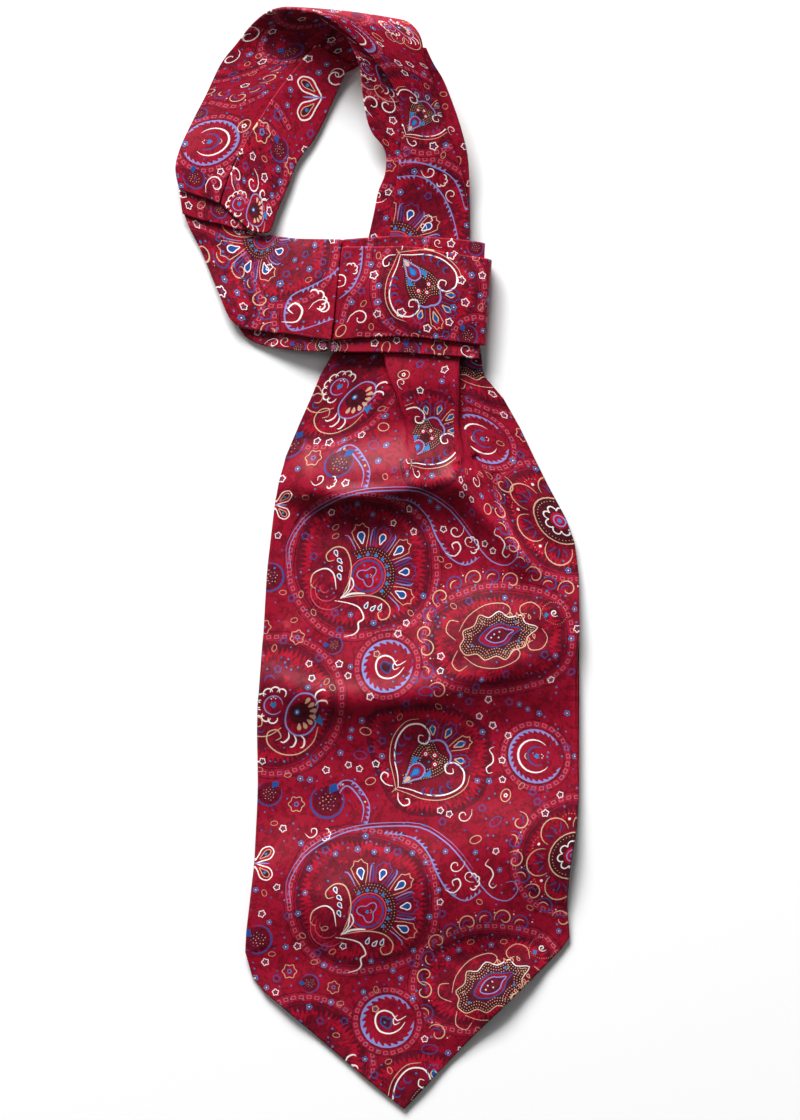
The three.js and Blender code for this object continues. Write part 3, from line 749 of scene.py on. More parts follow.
def twin_arc(line, gap=1.7):
    """Long lavender line with a shorter thin one beside it."""
    pad = Pad()
    pad.line("lavender", line, 0.68, 0.22)
    pad.line("lavender", moved_aside(line[: len(line) * 2 // 3], gap, False), 0.36, 0.2)
    return pad


# Cloth surfaces


def columns(names, *rows):
    """Rows of numbers as named columns."""
    return {name: np.array(values, float) for name, values in zip(names.split(), zip(*rows))}


def ease(low, high, value):
    share = np.clip((value - low) / (high - low), 0, 1)
    return share * share * (3 - 2 * share)


# Blade: side edges by station, neck first; the folded edges of its raised middle pleat; and how
# wide each of them has opened out.
BLADE_SIDES = columns(
    "y left right pleat_left pleat_right soft",
    (107, -20, 51, 3.5, 40, 2.4),
    (102, -22.8, 52, 4, 40, 2.4),
    (92, -28.5, 52.8, 6, 40, 2.6),
    (80, -33.4, 63, 11, 40, 3),
    (66, -39.6, 71, 14.5, 40.5, 5),
    (51, -45.8, 78.2, 15, 44, 10),
    (36, -50.2, 85.6, 15, 50, 18),
    (20, -52.3, 94.2, 14, 58, 26),
    (8, -53.7, 98.6, 12, 64, 32),
    (-8, -55.4, 100.6, 10, 66, 34),
    (-34, -56.8, 101.2, 8, 66, 34),
    (-50, -58, 100.8, 8, 66, 34),
    (-62, -58.6, 97.8, 8, 66, 34),
    (-72, -59.8, 97.2, 8, 66, 34),
    (-86, -60.2, 98.8, 8, 66, 34),
    (-112, -59.8, 101, 8, 66, 34),
    (-135, -60.5, 99.4, 8, 66, 34),
    (-156, -61.8, 96, 8, 66, 34),
    (-172, -64, 94.6, 8, 66, 34),
    (-186, -65.6, 96, 8, 66, 34),
    (-197, -66.2, 96.4, 8, 66, 34),
)
# Pointed end of the blade, from its left corner round the tip to its right corner.
BLADE_POINT = columns(
    "x y",
    (-66.2, -197),
    (-62, -209),
    (-56, -216.8),
    (-34, -235.2),
    (-4, -261),
    (13.2, -275),
    (28.8, -258),
    (46.2, -239.6),
    (68.8, -218),
    (91.6, -195),
    (96.4, -189.6),
)
NECK_END = 107.0
LEFT_TAKE_UP = 0.42  # share of the gathered width under the pleat's left edge
OVERHANG = 1.5  # how far a pleat's edge leans over the cloth beside it
NECK_RISE = columns(
    "y pleat lift",
    (107, 3.3, 2.2),
    (100, 3.5, 2),
    (88, 4.2, 1.6),
    (72, 3.4, 1),
    (58, 2, 0.5),
    (42, 0.6, 0.1),
    (28, 0, 0),
)
# Folds: a crest through three points, its height, and how far its slopes run out on the neck side
# and on the point side.
BLADE_FOLDS = (
    ((-48, 40), (-16, 27), (34, 46), 7.5, 16, 8),
    ((33, 50), (50, 24), (84, -9), 4.6, 7, 7),
    ((-62, -52), (-6, -82), (104, -28), 5.6, 30, 13),
    ((-64, -176), (26, -152), (102, -116), 4.6, 26, 19),
    ((40, -220), (60, -212), (84, -206), 2.2, 12, 10),
)
# Softer swells between the folds, in the same way.
BLADE_SWELLS = (
    ((-32, 31), (4, 25), (44, 40), 4.6, 6, 11),
    ((-20, 36), (16, 50), (46, 26), 1.6, 16, 10),
    ((33, 46), (51, 21), (85, -11), 3.4, 5, 11),
    ((-46, 78), (-30, 56), (-34, 34), 1.4, 9, 9),
    ((-56, -62), (-4, -92), (108, -42), 4.0, 9, 19),
    ((-10, -66), (56, -64), (110, -32), 2.4, 24, 22),
    ((-34, -190), (34, -176), (112, -140), 6.2, 26, 22),
    ((-58, -150), (-40, -168), (-8, -180), 1.4, 16, 16),
    ((30, -240), (52, -228), (80, -222), 1.6, 10, 8),
    ((62, 44), (80, 20), (98, 12), 1.4, 8, 8),
    ((-56, -2), (-20, -16), (20, -8), 1.0, 14, 12),
    ((34, -20), (66, -30), (100, -26), 1.0, 10, 9),
    ((-50, -216), (-10, -222), (30, -214), 1.2, 12, 12),
)
# Waves that all the cloth shares: bearing in degrees, length and height in millimetres.
DRAPE_WAVES = ((74, 41, 0.26), (118, 57, 0.24), (38, 29, 0.12), (155, 34, 0.10), (95, 19, 0.06))
CREST_STEPS = 16
FOLD_SPREAD = 1.9  # a slope reaches the flat cloth at this many times its table value
END_FADE = 0.34  # share of a crest over which it rises from either end
END_OVERRUN = 0.12


def at_station(table, name, y):
    return np.interp(-y, -table["y"], table[name])


def fold_height(fold, x, y):
    """Height of one fold over flat cloth at points x, y."""
    start, handle, end, height, above, below = fold
    crest = [
        [(1 - t) ** 2 * a + 2 * t * (1 - t) * b + t * t * c for a, b, c in zip(start, handle, end)]
        for t in np.linspace(0, 1, CREST_STEPS + 1)
    ]
    nearest = np.full(np.shape(x), np.inf)
    share = np.zeros(np.shape(x))
    reach = np.full(np.shape(x), float(above))
    for k in range(CREST_STEPS):
        (px, py), (qx, qy) = crest[k], crest[k + 1]
        dx, dy = qx - px, qy - py
        along = np.clip(((x - px) * dx + (y - py) * dy) / (dx * dx + dy * dy), 0, 1)
        ox, oy = x - px - dx * along, y - py - dy * along
        distance = np.hypot(ox, oy)
        closer = distance < nearest
        nearest = np.where(closer, distance, nearest)
        share = np.where(closer, (k + along) / CREST_STEPS, share)
        side = np.where(dx * oy - dy * ox > 0, above, below)
        reach = np.where(closer, side, reach)
    rise = ease(-END_OVERRUN, END_FADE - END_OVERRUN, share)
    rise = rise * ease(-END_OVERRUN, END_FADE - END_OVERRUN, 1 - share)
    return height * rise * (1 - np.clip(nearest / (FOLD_SPREAD * reach), 0, 1) ** 2) ** 3


def drape(x, y):
    """Slight unevenness of laid silk at points seen from above; never below zero."""
    height = 0
    for k, (bearing, length, rise) in enumerate(DRAPE_WAVES):
        along = x * math.cos(math.radians(bearing)) + y * math.sin(math.radians(bearing))
        across = y * math.cos(math.radians(bearing)) - x * math.sin(math.radians(bearing))
        phase = 2 * np.pi * along / length + 1.3 * np.sin(across / 23 + k) + 1.7 * k
        height = height + rise * (1 + np.sin(phase))
    return height


def blade_threads(p, y):
    """Where the thread p millimetres from the left edge lies at station y: its x, how far it is
    over the left and the right pleat edge, from 0 to 1, and how tightly the cloth is gathered."""
    left, right, soft, pleat_left, pleat_right = (
        at_station(BLADE_SIDES, name, y) for name in ("left", "right", "soft", "pleat_left", "pleat_right")
    )
    hidden = np.maximum(0, BLADE_WIDTH - (right - left))
    stops = (
        pleat_left - soft / 2,
        pleat_left + soft / 2,
        pleat_right - soft / 2,
        pleat_right + soft / 2,
        right,
    )
    swallowed = (0, hidden * LEFT_TAKE_UP, 0, hidden * (1 - LEFT_TAKE_UP), 0)
    flat = p / BLADE_WIDTH * (right - left + hidden)
    x, used, start = left, 0, left
    passed, gather = [], np.ones(np.shape(flat))
    for stop, extra in zip(stops, swallowed):
        shown = stop - start
        cloth = shown + extra
        part = np.clip((flat - used) / cloth, 0, 1)
        x = x + shown * part
        gather = np.where((part > 0) & (part < 1), cloth / shown, gather)
        passed.append(part)
        used = used + cloth
        start = stop
    return x, passed[1], passed[3], gather


def blade_face(p, y, overhang=OVERHANG):
    x, over_left, over_right, _ = blade_threads(p, y)
    soft = at_station(BLADE_SIDES, "soft", y)
    lean = overhang * np.clip(at_station(NECK_RISE, "pleat", y) / 2, 0, 1) * np.clip(6 / (soft + 3), 0, 1)
    on_pleat = ease(0, 1, over_left) * (1 - ease(0, 1, over_right))
    z = CLOTH + at_station(NECK_RISE, "lift", y) + at_station(NECK_RISE, "pleat", y) * on_pleat
    for fold in BLADE_FOLDS + BLADE_SWELLS:
        z = z + fold_height(fold, x, y)
    z = z + drape(x, y)
    x = x + lean * (np.sin(2 * np.pi * over_left) + np.sin(2 * np.pi * over_right))
    return np.stack([x, y + 0 * x, z], -1)


def blade_under(p, y):
    """Lower face of the blade: flat on the surface, hollow under its folds."""
    return blade_face(p, y, 0) - np.array([0, 0, CLOTH])


def blade_outline():
    """Edge of the blade in flat cloth, inside its turned rim."""
    wide_left, wide_right = BLADE_SIDES["left"][-1], BLADE_SIDES["right"][-1]
    p = (BLADE_POINT["x"] - wide_left) / (wide_right - wide_left) * BLADE_WIDTH
    hem = [(min(max(a, HALF), BLADE_WIDTH - HALF), b + HALF) for a, b in zip(p, BLADE_POINT["y"])]
    return [(HALF, NECK_END), *hem, (BLADE_WIDTH - HALF, NECK_END)]


def blade_place(x, y):
    """Flat place of the thread under a point seen from above."""
    p = np.linspace(0, BLADE_WIDTH, 2 * int(BLADE_WIDTH) + 1)
    return float(np.interp(x, blade_threads(p, np.full(p.shape, float(y)))[0], p)), float(y)


class Strip:
    """A stretch of band through sections. Each row has the section's ends a and b, x, y, z each,
    then how far its middle crowns up and how far it bows towards +Y. Flat cloth is measured as u
    along the middle and v across, from a to b. upside is -1 where u and v turn the face's own
    normal into the cloth."""

    def __init__(self, *rows, upside=1):
        full = np.array([tuple(row) + (0,) * (8 - len(row)) for row in rows], float)
        self.a, self.b = full[:, 0:3], full[:, 3:6]
        self.crown, self.bow = full[:, 6], full[:, 7]
        self.lowest = min(self.a[:, 2].min(), self.b[:, 2].min())
        self.upside = upside
        self.t = np.linspace(0, 1, 40 * len(rows))
        middle = self.at(0.5, self.t)
        self.u = np.concatenate([[0], np.cumsum(np.linalg.norm(np.diff(middle, axis=0), axis=1))])
        self.length = self.u[-1]
        self.width = np.linalg.norm(self.at(1, self.t) - self.at(0, self.t), axis=1)

    @staticmethod
    def edge(points, t):
        """Centripetal curve through points, at shares t of the way along its rows."""
        last = len(points) - 1
        ends = np.concatenate([[2 * points[0] - points[1]], points, [2 * points[-1] - points[-2]]])
        k = np.clip(np.floor(t * last).astype(int), 0, last - 1)
        w = (t * last - k)[..., None]
        p0, p1, p2, p3 = (ends[k + j] for j in range(4))
        d0, d1, d2 = (
            np.maximum(np.sqrt(np.linalg.norm(q - p, axis=-1, keepdims=True)), 1e-4)
            for p, q in ((p0, p1), (p1, p2), (p2, p3))
        )
        m1 = ((p1 - p0) / d0 - (p2 - p0) / (d0 + d1) + (p2 - p1) / d1) * d1
        m2 = ((p2 - p1) / d1 - (p3 - p1) / (d1 + d2) + (p3 - p2) / d2) * d1
        return p1 + m1 * w + (3 * (p2 - p1) - 2 * m1 - m2) * w * w + (2 * (p1 - p2) + m1 + m2) * w**3

    def at(self, s, t):
        s, t = np.broadcast_arrays(np.asarray(s, float), np.asarray(t, float))
        point = self.edge(self.a, t) * (1 - s)[..., None] + self.edge(self.b, t) * s[..., None]
        middle = 4 * s * (1 - s)
        rows = np.arange(len(self.crown))
        place = t * (len(rows) - 1)
        k = np.floor(place)
        place = k + ease(0, 1, place - k)
        point[..., 2] = np.maximum(self.lowest, point[..., 2]) + np.interp(place, rows, self.crown) * middle
        point[..., 1] += np.interp(place, rows, self.bow) * middle
        return point

    def face(self, u, v):
        t = np.interp(u, self.u, self.t)
        width = np.interp(u, self.u, self.width)
        point = self.at(0.5 + v / width, t)
        point[..., 2] += drape(point[..., 0], point[..., 1])
        return point

    def outline(self, step=2.0):
        """Edge of the strip in flat cloth, inside its turned rim."""
        u = np.linspace(HALF, self.length - HALF, max(3, int(self.length / step)))
        half = np.interp(u, self.u, self.width) / 2 - HALF
        return [(a, -b) for a, b in zip(u, half)] + [(a, b) for a, b in zip(u[::-1], half[::-1])]

    def place(self, x, y, near=None):
        """Flat place of the cloth under a point seen from above; near is a stretch of u to look in."""
        low, high = near or (0, self.length)
        u, s = np.meshgrid(np.linspace(low, high, 120), np.linspace(0.02, 0.98, 40), indexing="ij")
        v = (s - 0.5) * np.interp(u, self.u, self.width)
        found = self.face(u, v)
        k = np.argmin((found[..., 0] - x) ** 2 + (found[..., 1] - y) ** 2)
        return float(u.flat[k]), float(v.flat[k])

    def view(self, u, v):
        """Directions of flat u and v as seen from above, as unit vectors."""
        along = (self.face(u + 1.0, v) - self.face(u - 1.0, v))[:2]
        along = along / (np.linalg.norm(along) or 1)
        across = (self.face(u, v + 1.0) - self.face(u, v - 1.0))[:2]
        turn = np.sign(along[0] * across[1] - along[1] * across[0]) or 1
        return along, np.array([-along[1], along[0]]) * turn


# Band pieces by their upper or outer faces. The outer leaf is one length of cloth: the left run by
# its lower face, then the roll at the back of the neck, then the right run, which slips under the wrap.
OUTER_LEAF = Strip(
    (-99, 184.5, CORNER_TOP - CLOTH, -79, 177.4, CORNER_TOP - CLOTH),
    (-101, 195, 3.8, -74.6, 190, 3.8),
    (-99, 204, 2.2, -71.1, 199, 2.4, 0.6),
    (-93, 217.5, 0.5, -62.5, 210.5, 0.4, 1),
    (-86, 231.5, 0, -45, 229, 0, 0.6),
    (-78.1, 247.9, 0, -9.6, 246.4, 0),
    (-71, 257, 1.2, -2, 252, 0.8, 0, 0.4),
    (-63, 267, 6, 4, 261.5, 4.4, 0, 0.8),
    (-55, 273.2, 12, 9.5, 267.4, 9.6, 0, 1.2),
    (-47.5, 275, 18, 13.5, 268.6, 14.5, 0, 1.4),
    (-40, 274.4, 22.2, 18.6, 265.2, 18.4, 0, 1.2),
    (-31, 272, ROLL_HEIGHT, 21.8, 260, 20.8, 0, 1),
    (-18.5, 265, 23.6, 24, 248.4, 19.2, 0.6),
    (-8, 255.5, 21.6, 26, 243.4, 18.2, 1),
    (3, 243, 19, 28.5, 236, 17, 1),
    (10, 230, 16.2, 31, 226.5, 15, 1),
    (12, 215.5, 13.4, 34, 215.5, 12.8, 1.4),
    (10.5, 197.5, 10.8, 40, 199.5, 10.6, 1.6),
    (9, 184.5, 8.7, 44, 185, 8.7, 1.4),
    (7, 171, 7, 45.6, 172, 7, 0.4),
    (6, 155.8, 6.2, 46, 155.8, 6.2, 0.2),
)
LEFT_INNER_LEAF = Strip(
    (-78.6, 177.2, CORNER_TOP, -63, 163.8, CORNER_TOP),
    (-74.2, 190.2, 5.5, -54.2, 163.2, 5, 0.3),
    (-70.7, 199, 5.6, -50, 173.5, 3.6, 0.6),
    (-65, 210.5, 4.7, -44, 187.5, 2.6, 0.6),
    (-59, 220, 4, -40, 198, 2.2, 0.6),
    (-51, 232.5, 3.9, -31, 210.5, 2, 0.6),
    (-42, 244, 3.9, -20, 233.5, 2, 0.6),
    (-37, 250, 4.4, -16, 242, 3, 0.4),
    (-30, 257, 5.8, -12.4, 246.4, 3.9, 0.2),
    upside=-1,
)
RIGHT_INNER_LEAF = Strip(
    (-29, 269.6, 21.6, -21, 265.4, 21.2),
    (-25, 266, 21, -12, 259.5, 20),
    (-16, 259.5, 19.2, -2, 251, 18.2),
    (-9, 245, 15.8, 8, 240, 15.9),
    (-8, 236, 13, 14, 231, 13.6),
    (-5.5, 220, 9.8, 17, 218, 10.9),
    (-3, 213, 8.8, 18, 212, 10),
    (3.5, 204, 7.4, 18, 203, 8.8),
    (3.6, 192, 6, 16, 190, 7),
    (0.5, 184, 4.8, 15, 182, 5.8),
    (-2, 172, 3.8, 13, 172, 4.6),
    (-5.5, 156.6, 3.4, 12, 156.6, 3.9),
)
RIGHT_UNDER_LEAF = Strip(
    (22, 255, 18.4, 24.3, 254.4, 18.3),
    (23.6, 246.4, 16.9, 28.2, 246.2, 16.8),
    (26.2, 237, 14.6, 32.8, 239, 14.4),
    (28.3, 227, 12.6, 38, 226, 12.2),
    (31, 215.5, 10.6, 42, 214, 10.2),
    (36, 200, 8.2, 45, 201.5, 8),
    (40, 186, 6.5, 46, 187.5, 6.4),
    (41, 172, 4.8, 46.3, 172, 4.7),
    (41, 157, 3.9, 46.3, 157, 3.9),
)
LOWER_RUN = Strip(
    (-62, 166, 1.6, -98.2, 177, 1.6),
    (-58, 161.8, 1.7, -95, 168, 1.7),
    (-54, 162, 2, -88, 153.5, 1.8),
    (-50.5, 161.4, 2.2, -80, 134.5, 2.6),
    (-47, 161, 2.6, -71.2, 117.2, 3.8, 0.8),
    (-40, 160.3, 4, -57, 113.6, 4.6, 1.6),
    (-32, 160, 6.4, -43, 112, 6.8, 1.6),
    (-25, 159.8, 9.2, -32, 110.2, 9.2, 0.8),
    (-17.7, 159.5, 11.1, -22.8, 109, KNOT_HEIGHT),
    upside=-1,
)
LOWER_UNDER_LEAF = Strip(
    (-66, 124, 1.6, -69.4, 115.8, 1.6),
    (-60, 122, 1.8, -65.5, 110.6, 1.6),
    (-52, 120, 2.3, -58, 107, 2),
    (-43, 120, 4.1, -49, 105.2, 3.4),
    (-34, 119, 6.2, -39, 103.9, 5.4),
    (-24.1, 118, 8.8, -25.1, 103.3, 8.8),
    upside=-1,
)
CORNER_TUCK = Strip(
    (-99.6, 187, TUCK_TOP, -97.3, 172.5, TUCK_TOP),
    (-88.5, 184.5, TUCK_TOP, -91, 170, TUCK_TOP),
    (-78.5, 180, TUCK_TOP, -81, 167.6, TUCK_TOP),
    (-71.3, 175.3, TUCK_TOP, -73, 165.5, TUCK_TOP),
    (-64.5, 167, TUCK_TOP, -65.5, 163.6, TUCK_TOP),
    upside=-1,
)
WRAP = Strip(
    (-17.8, 156, KNOT_HEIGHT, -22.5, 109.1, KNOT_HEIGHT),
    (0, 156, KNOT_HEIGHT, -4, 110.4, KNOT_HEIGHT, 0.6),
    (17, 156, KNOT_HEIGHT, 14, 110.6, KNOT_HEIGHT, 1),
    (36, 152.8, KNOT_HEIGHT, 34, 108.8, KNOT_HEIGHT, 0.8),
    (51, 150.5, KNOT_HEIGHT - 0.2, 48.5, 107, KNOT_HEIGHT - 0.2, 0.3),
    (56, 149.7, 9.8, 53.2, 106.6, 9.8),
    (57.2, 149.5, 5.6, 54.4, 106.5, 5.6),
    (56, 149.7, 1.4, 53.2, 106.6, 1.4),
    (51, 150.2, 0, 48.5, 107.4, 0),
    (20, 152, 0, 17, 108, 0),
    (-14, 153, 0, -16, 109, 0),
    upside=-1,
)
WRAP_UNDER_LEAF = Strip(
    (-19, 159.3, UNDER_LEAF_TOP, -23.7, 103.4, UNDER_LEAF_TOP),
    (-3, 160.6, UNDER_LEAF_TOP, -10, 103, UNDER_LEAF_TOP),
    (11, 161.5, UNDER_LEAF_TOP, 6, 103, UNDER_LEAF_TOP),
    (30, 160.5, UNDER_LEAF_TOP, 26, 101.8, UNDER_LEAF_TOP),
    (46, 159, UNDER_LEAF_TOP, 41, 100.8, UNDER_LEAF_TOP),
    (53.9, 157.6, UNDER_LEAF_TOP - 0.3, 51, 99.6, UNDER_LEAF_TOP - 0.3),
    upside=-1,
)


# Meshes of printed cloth


GROUND = "crimson"
WELD = 1e-4
RIM_STEPS = 6
NEAR = 0.4  # step for slopes and outward directions


def grid_inside(outline, spacing):
    """Even points inside the box of an outline."""
    xs, ys = [p[0] for p in outline], [p[1] for p in outline]
    return [
        (x, y)
        for x in np.arange(min(xs) + spacing[0] / 2, max(xs), spacing[0])
        for y in np.arange(min(ys) + spacing[1] / 2, max(ys), spacing[1])
    ]


def cut_sheet(outline, pad, spacing):
    """Flat sheet cut along every inked edge: its points, triangles and the ink of each triangle."""
    points, faces, inks = [], [], []
    xs, ys = [p[0] for p in outline], [p[1] for p in outline]
    low_x, high_x, low_y, high_y = min(xs), max(xs), min(ys), max(ys)
    for ink, shape in [(GROUND, outline)] + pad.shapes:
        inside = [low_x <= x <= high_x and low_y <= y <= high_y for x, y in shape]
        if not any(inside):
            continue
        start = len(points)
        points += with_area_ahead(list(shape))
        faces.append(list(range(start, len(points))))
        inks.append(ink)
    points += grid_inside(outline, spacing)
    found = delaunay_2d_cdt([Vector(p) for p in points], [], faces, 0, WELD, True)
    flat, _, triangles, _, _, owners = found
    corners = np.array([tuple(p) for p in flat])
    boxes = [np.array([points[k] for k in face]) for face in faces]
    boxes = [(*box.min(0), *box.max(0)) for box in boxes]
    kept = []
    for tri, own in zip(triangles, owners):
        if not own or min(own) != 0:
            continue
        x, y = corners[list(tri)].mean(0)
        tops = [k for k in own if boxes[k][0] <= x <= boxes[k][2] and boxes[k][1] <= y <= boxes[k][3]]
        kept.append((tri, max(tops)))
    used = sorted({k for tri, _ in kept for k in tri})
    index = {old: new for new, old in enumerate(used)}
    flat = np.array([tuple(flat[k]) for k in used])
    triangles = np.array([[index[k] for k in tri] for tri, _ in kept])
    return flat, triangles, [inks[top] for _, top in kept]


def rim_of(triangles):
    """Edges of a sheet that only one triangle has, in their own direction, with that triangle."""
    owner = {}
    for k, tri in enumerate(triangles.tolist()):
        for a, b in zip(tri, tri[1:] + tri[:1]):
            owner[(a, b)] = k
    return [(a, b, k) for (a, b), k in owner.items() if (b, a) not in owner]


def normals_of(face, flat):
    """Unit normals of a cloth face at flat places."""
    u, v = flat[:, 0], flat[:, 1]
    along = face(u + NEAR, v) - face(u - NEAR, v)
    across = face(u, v + NEAR) - face(u, v - NEAR)
    normal = np.cross(along, across)
    return normal / np.maximum(np.linalg.norm(normal, axis=1, keepdims=True), 1e-9)


def outward_of(flat, rim):
    """Unit steps out of the sheet, in flat cloth, at its rim points."""
    steps = {}
    for a, b, _ in rim:
        along = flat[b] - flat[a]
        out = np.array([along[1], -along[0]]) / (np.linalg.norm(along) or 1)
        for k in (a, b):
            steps[k] = steps.get(k, 0) + out
    return {k: step / (np.linalg.norm(step) or 1) for k, step in steps.items()}


def shell(name, face, outline, pad, spacing, turned_up=1, back=True, quiet=None):
    """Piece of cloth with its print on both faces and a round edge between them. turned_up is -1
    where the face's own normal points into the cloth. Without a back it is one panel whose edge
    turns down to the seam at mid thickness. quiet tells where the print is left out."""
    flat, triangles, inks = cut_sheet(outline, pad, spacing)
    if quiet is not None:
        middle = flat[triangles].mean(axis=1)
        hidden = quiet(middle[:, 0], middle[:, 1])
        inks = [GROUND if out else ink for ink, out in zip(inks, hidden)]
    place = face(flat[:, 0], flat[:, 1])
    normal = normals_of(face, flat) * turned_up
    rim = rim_of(triangles)
    out_flat = outward_of(flat, rim)
    rim_points = sorted(out_flat)
    steps = np.array([out_flat[k] for k in rim_points])
    near = flat[rim_points] + steps * NEAR
    out = face(near[:, 0], near[:, 1]) - place[rim_points]
    n = normal[rim_points]
    out = out - (out * n).sum(1, keepdims=True) * n
    out = out / np.maximum(np.linalg.norm(out, axis=1, keepdims=True), 1e-9)
    count = len(flat)
    verts, norms, cloth = [place], [normal], [flat]
    if back:
        verts.append(place - CLOTH * normal)
        norms.append(-normal)
        cloth.append(flat)
    order = {k: i for i, k in enumerate(rim_points)}
    rings = []
    last = RIM_STEPS if back else RIM_STEPS // 2
    for j in range(1, last + (0 if back else 1)):
        angle = math.pi * j / RIM_STEPS
        way = math.cos(angle) * n + math.sin(angle) * out
        rings.append(sum(len(v) for v in verts))
        verts.append(place[rim_points] - HALF * n + HALF * way)
        norms.append(way)
        cloth.append(flat[rim_points] + steps * HALF * angle)

    def ring_point(j, k):
        if j == 0:
            return k
        if back and j == last:
            return count + k
        return rings[j - 1] + order[k]

    faces = (triangles if turned_up > 0 else triangles[:, ::-1]).tolist()
    face_inks = list(inks)
    if back:
        faces += (triangles[:, ::-1] + count if turned_up > 0 else triangles + count).tolist()
        face_inks += inks
    for a, b, k in rim:
        for j in range(last):
            quad = [ring_point(j, a), ring_point(j + 1, a), ring_point(j + 1, b), ring_point(j, b)]
            faces.append(quad if turned_up > 0 else quad[::-1])
            face_inks.append(inks[k])
    verts, norms, cloth = (np.concatenate(part) for part in (verts, norms, cloth))
    return printed_mesh(name, verts, norms, cloth, faces, face_inks, count if back else None)


FACE_SHARE = 0.48  # share of the texture's height that each of the two faces of a cloth has
BACK_SHIFT = 0.51


def printed_mesh(name, verts, norms, cloth, faces, face_inks, front_count):
    """Object from points, normals, flat places and faces, with its ink as a colour on each face.
    front_count is the number of points of a front face that has a back, or else None."""
    mesh = bpy.data.meshes.new(name)
    mesh.from_pydata((verts * MM).tolist(), [], faces)
    loops = np.empty(len(mesh.loops), int)
    mesh.loops.foreach_get("vertex_index", loops)
    sizes = np.array([len(f) for f in faces])
    colours = np.repeat(np.array([(*INKS[ink], 1.0) for ink in face_inks]), sizes, axis=0)
    ink = mesh.color_attributes.new("ink", "FLOAT_COLOR", "CORNER")
    ink.data.foreach_set("color", colours.ravel().astype(np.float32))
    lay = mesh.attributes.new("cloth_mm", "FLOAT_VECTOR", "POINT")
    lay.data.foreach_set("vector", np.column_stack([cloth, np.zeros(len(cloth))]).ravel().astype(np.float32))
    low, high = cloth.min(0), cloth.max(0)
    share = (cloth - low) / (high - low)
    if front_count is not None:
        share[:, 1] *= FACE_SHARE
        share[front_count:2 * front_count, 1] += BACK_SHIFT
    uv = mesh.uv_layers.new(name="cloth")
    uv.data.foreach_set("uv", share[loops].ravel().astype(np.float32))
    mesh.shade_smooth()
    mesh.normals_split_custom_set_from_vertices(norms.tolist())
    mesh.update()
    piece = bpy.data.objects.new(name, mesh)
    bpy.context.scene.collection.objects.link(piece)
    return piece


# Where the print lies. Places are millimetres as seen from above, on the cloth's shown face.


# Medallions of the blade: rim through points, the motif in it, the motif's place, turn and size.
DAISY_RIM = (
    (-33, 21), (-40, 5), (-40, -11), (-33, -25), (-20, -35), (-2, -34), (16, -29),
    (25, -16), (26, 0), (22, 16), (10, 25), (-6, 29), (-21, 28),
)
LOZENGE_RIM = (
    (28, -33), (30, -27), (41, -21), (54, -17), (68, -17), (83, -20), (91, -26),
    (94, -39), (91, -52), (80, -59), (57, -63), (39, -61), (28, -53), (26, -42),
)
HEART_RIM = (
    (-5, -78), (11, -73), (33, -73), (51, -81), (57, -93), (56, -110), (49, -122),
    (33, -128), (16, -128), (5, -120), (-1, -106), (-5, -93),
)


def round_rim(x, y, radius):
    return round_line(radius, 0, 350, step=14, centre=(x, y))


# Long repeat of the print along the blade.
DOWN = (0.0, -167.5)
# Rim as seen, or the radius of a round rim in flat cloth; then motif, its place, turn and size, and
# whether a chain runs round it.
BLADE_MEDALLIONS = (
    (DAISY_RIM, "half_daisy", (-5, -8.5), 6, 1.0, True),
    (moved(DAISY_RIM, DOWN), "half_daisy", (-5, -176), 8, 1.0, True),
    (LOZENGE_RIM, "lozenge", (60, -38), 14, 1.04, True),
    (moved(LOZENGE_RIM, (-5, -170)), "lozenge", (57, -213), 30, 1.04, True),
    (HEART_RIM, "heart_scroll", (23, -103), -50, 1.0, False),
    (26, "heart_scroll", (22.5, 59), -38, 0.84, False),
    (27, "scroll_flower", (-19, 86), -28, 1.06, True),
    (31, "scroll_flower", (-52, -73), -16, 1.2, True),
    (30, "scroll_flower", (-36, -252), -24, 1.15, True),
    (26, "rosette", (91, 19), 12, 1.1, True),
    (26, "rosette", (100, -148), 12, 1.1, True),
    (30, "heart_scroll", (22, -275), -52, 1.0, False),
    (24, "lozenge", (72, 100), 12, 0.9, True),
)
# Lavender arcs of the blade with teeth along their hollow side, and the scroll that ends them.
CLUB_BACK = (
    (-43, -6), (-44, 5), (-40, 14), (-33, 22), (-21, 29), (-10, 32.5), (3, 34), (21, 33.6),
    (33, 27), (41, 19), (49, 8), (57, -1), (65, -3), (70, 2), (68, 6.5), (64, 6),
)
CLUB_BELLY = ((4, 30.4), (17, 28.5), (25, 21), (30, 10), (36, 1), (44, -3), (51, 1))
SHORT_ARC = ((-8, 36), (-7, 44), (-12, 52), (-16, 54), (-19, 50), (-17, 47))
BLADE_SCALLOPS = (
    ((24, -37), (29, -23), (39, -12.5), (54, -9), (67, -11)),
    ((63, 37), (60, 28), (62, 17), (68, 5), (75, -5), (84, -12), (95, -15)),
    ((24, -208), (29, -192), (45, -182), (61, -179), (72, -182)),
    ((71, -131), (68, -140), (69, -152), (75, -163), (83, -173), (92, -180)),
    ((24, -45), (24, -57), (30, -66)),
    ((23, -216), (24, -228), (30, -237)),
)
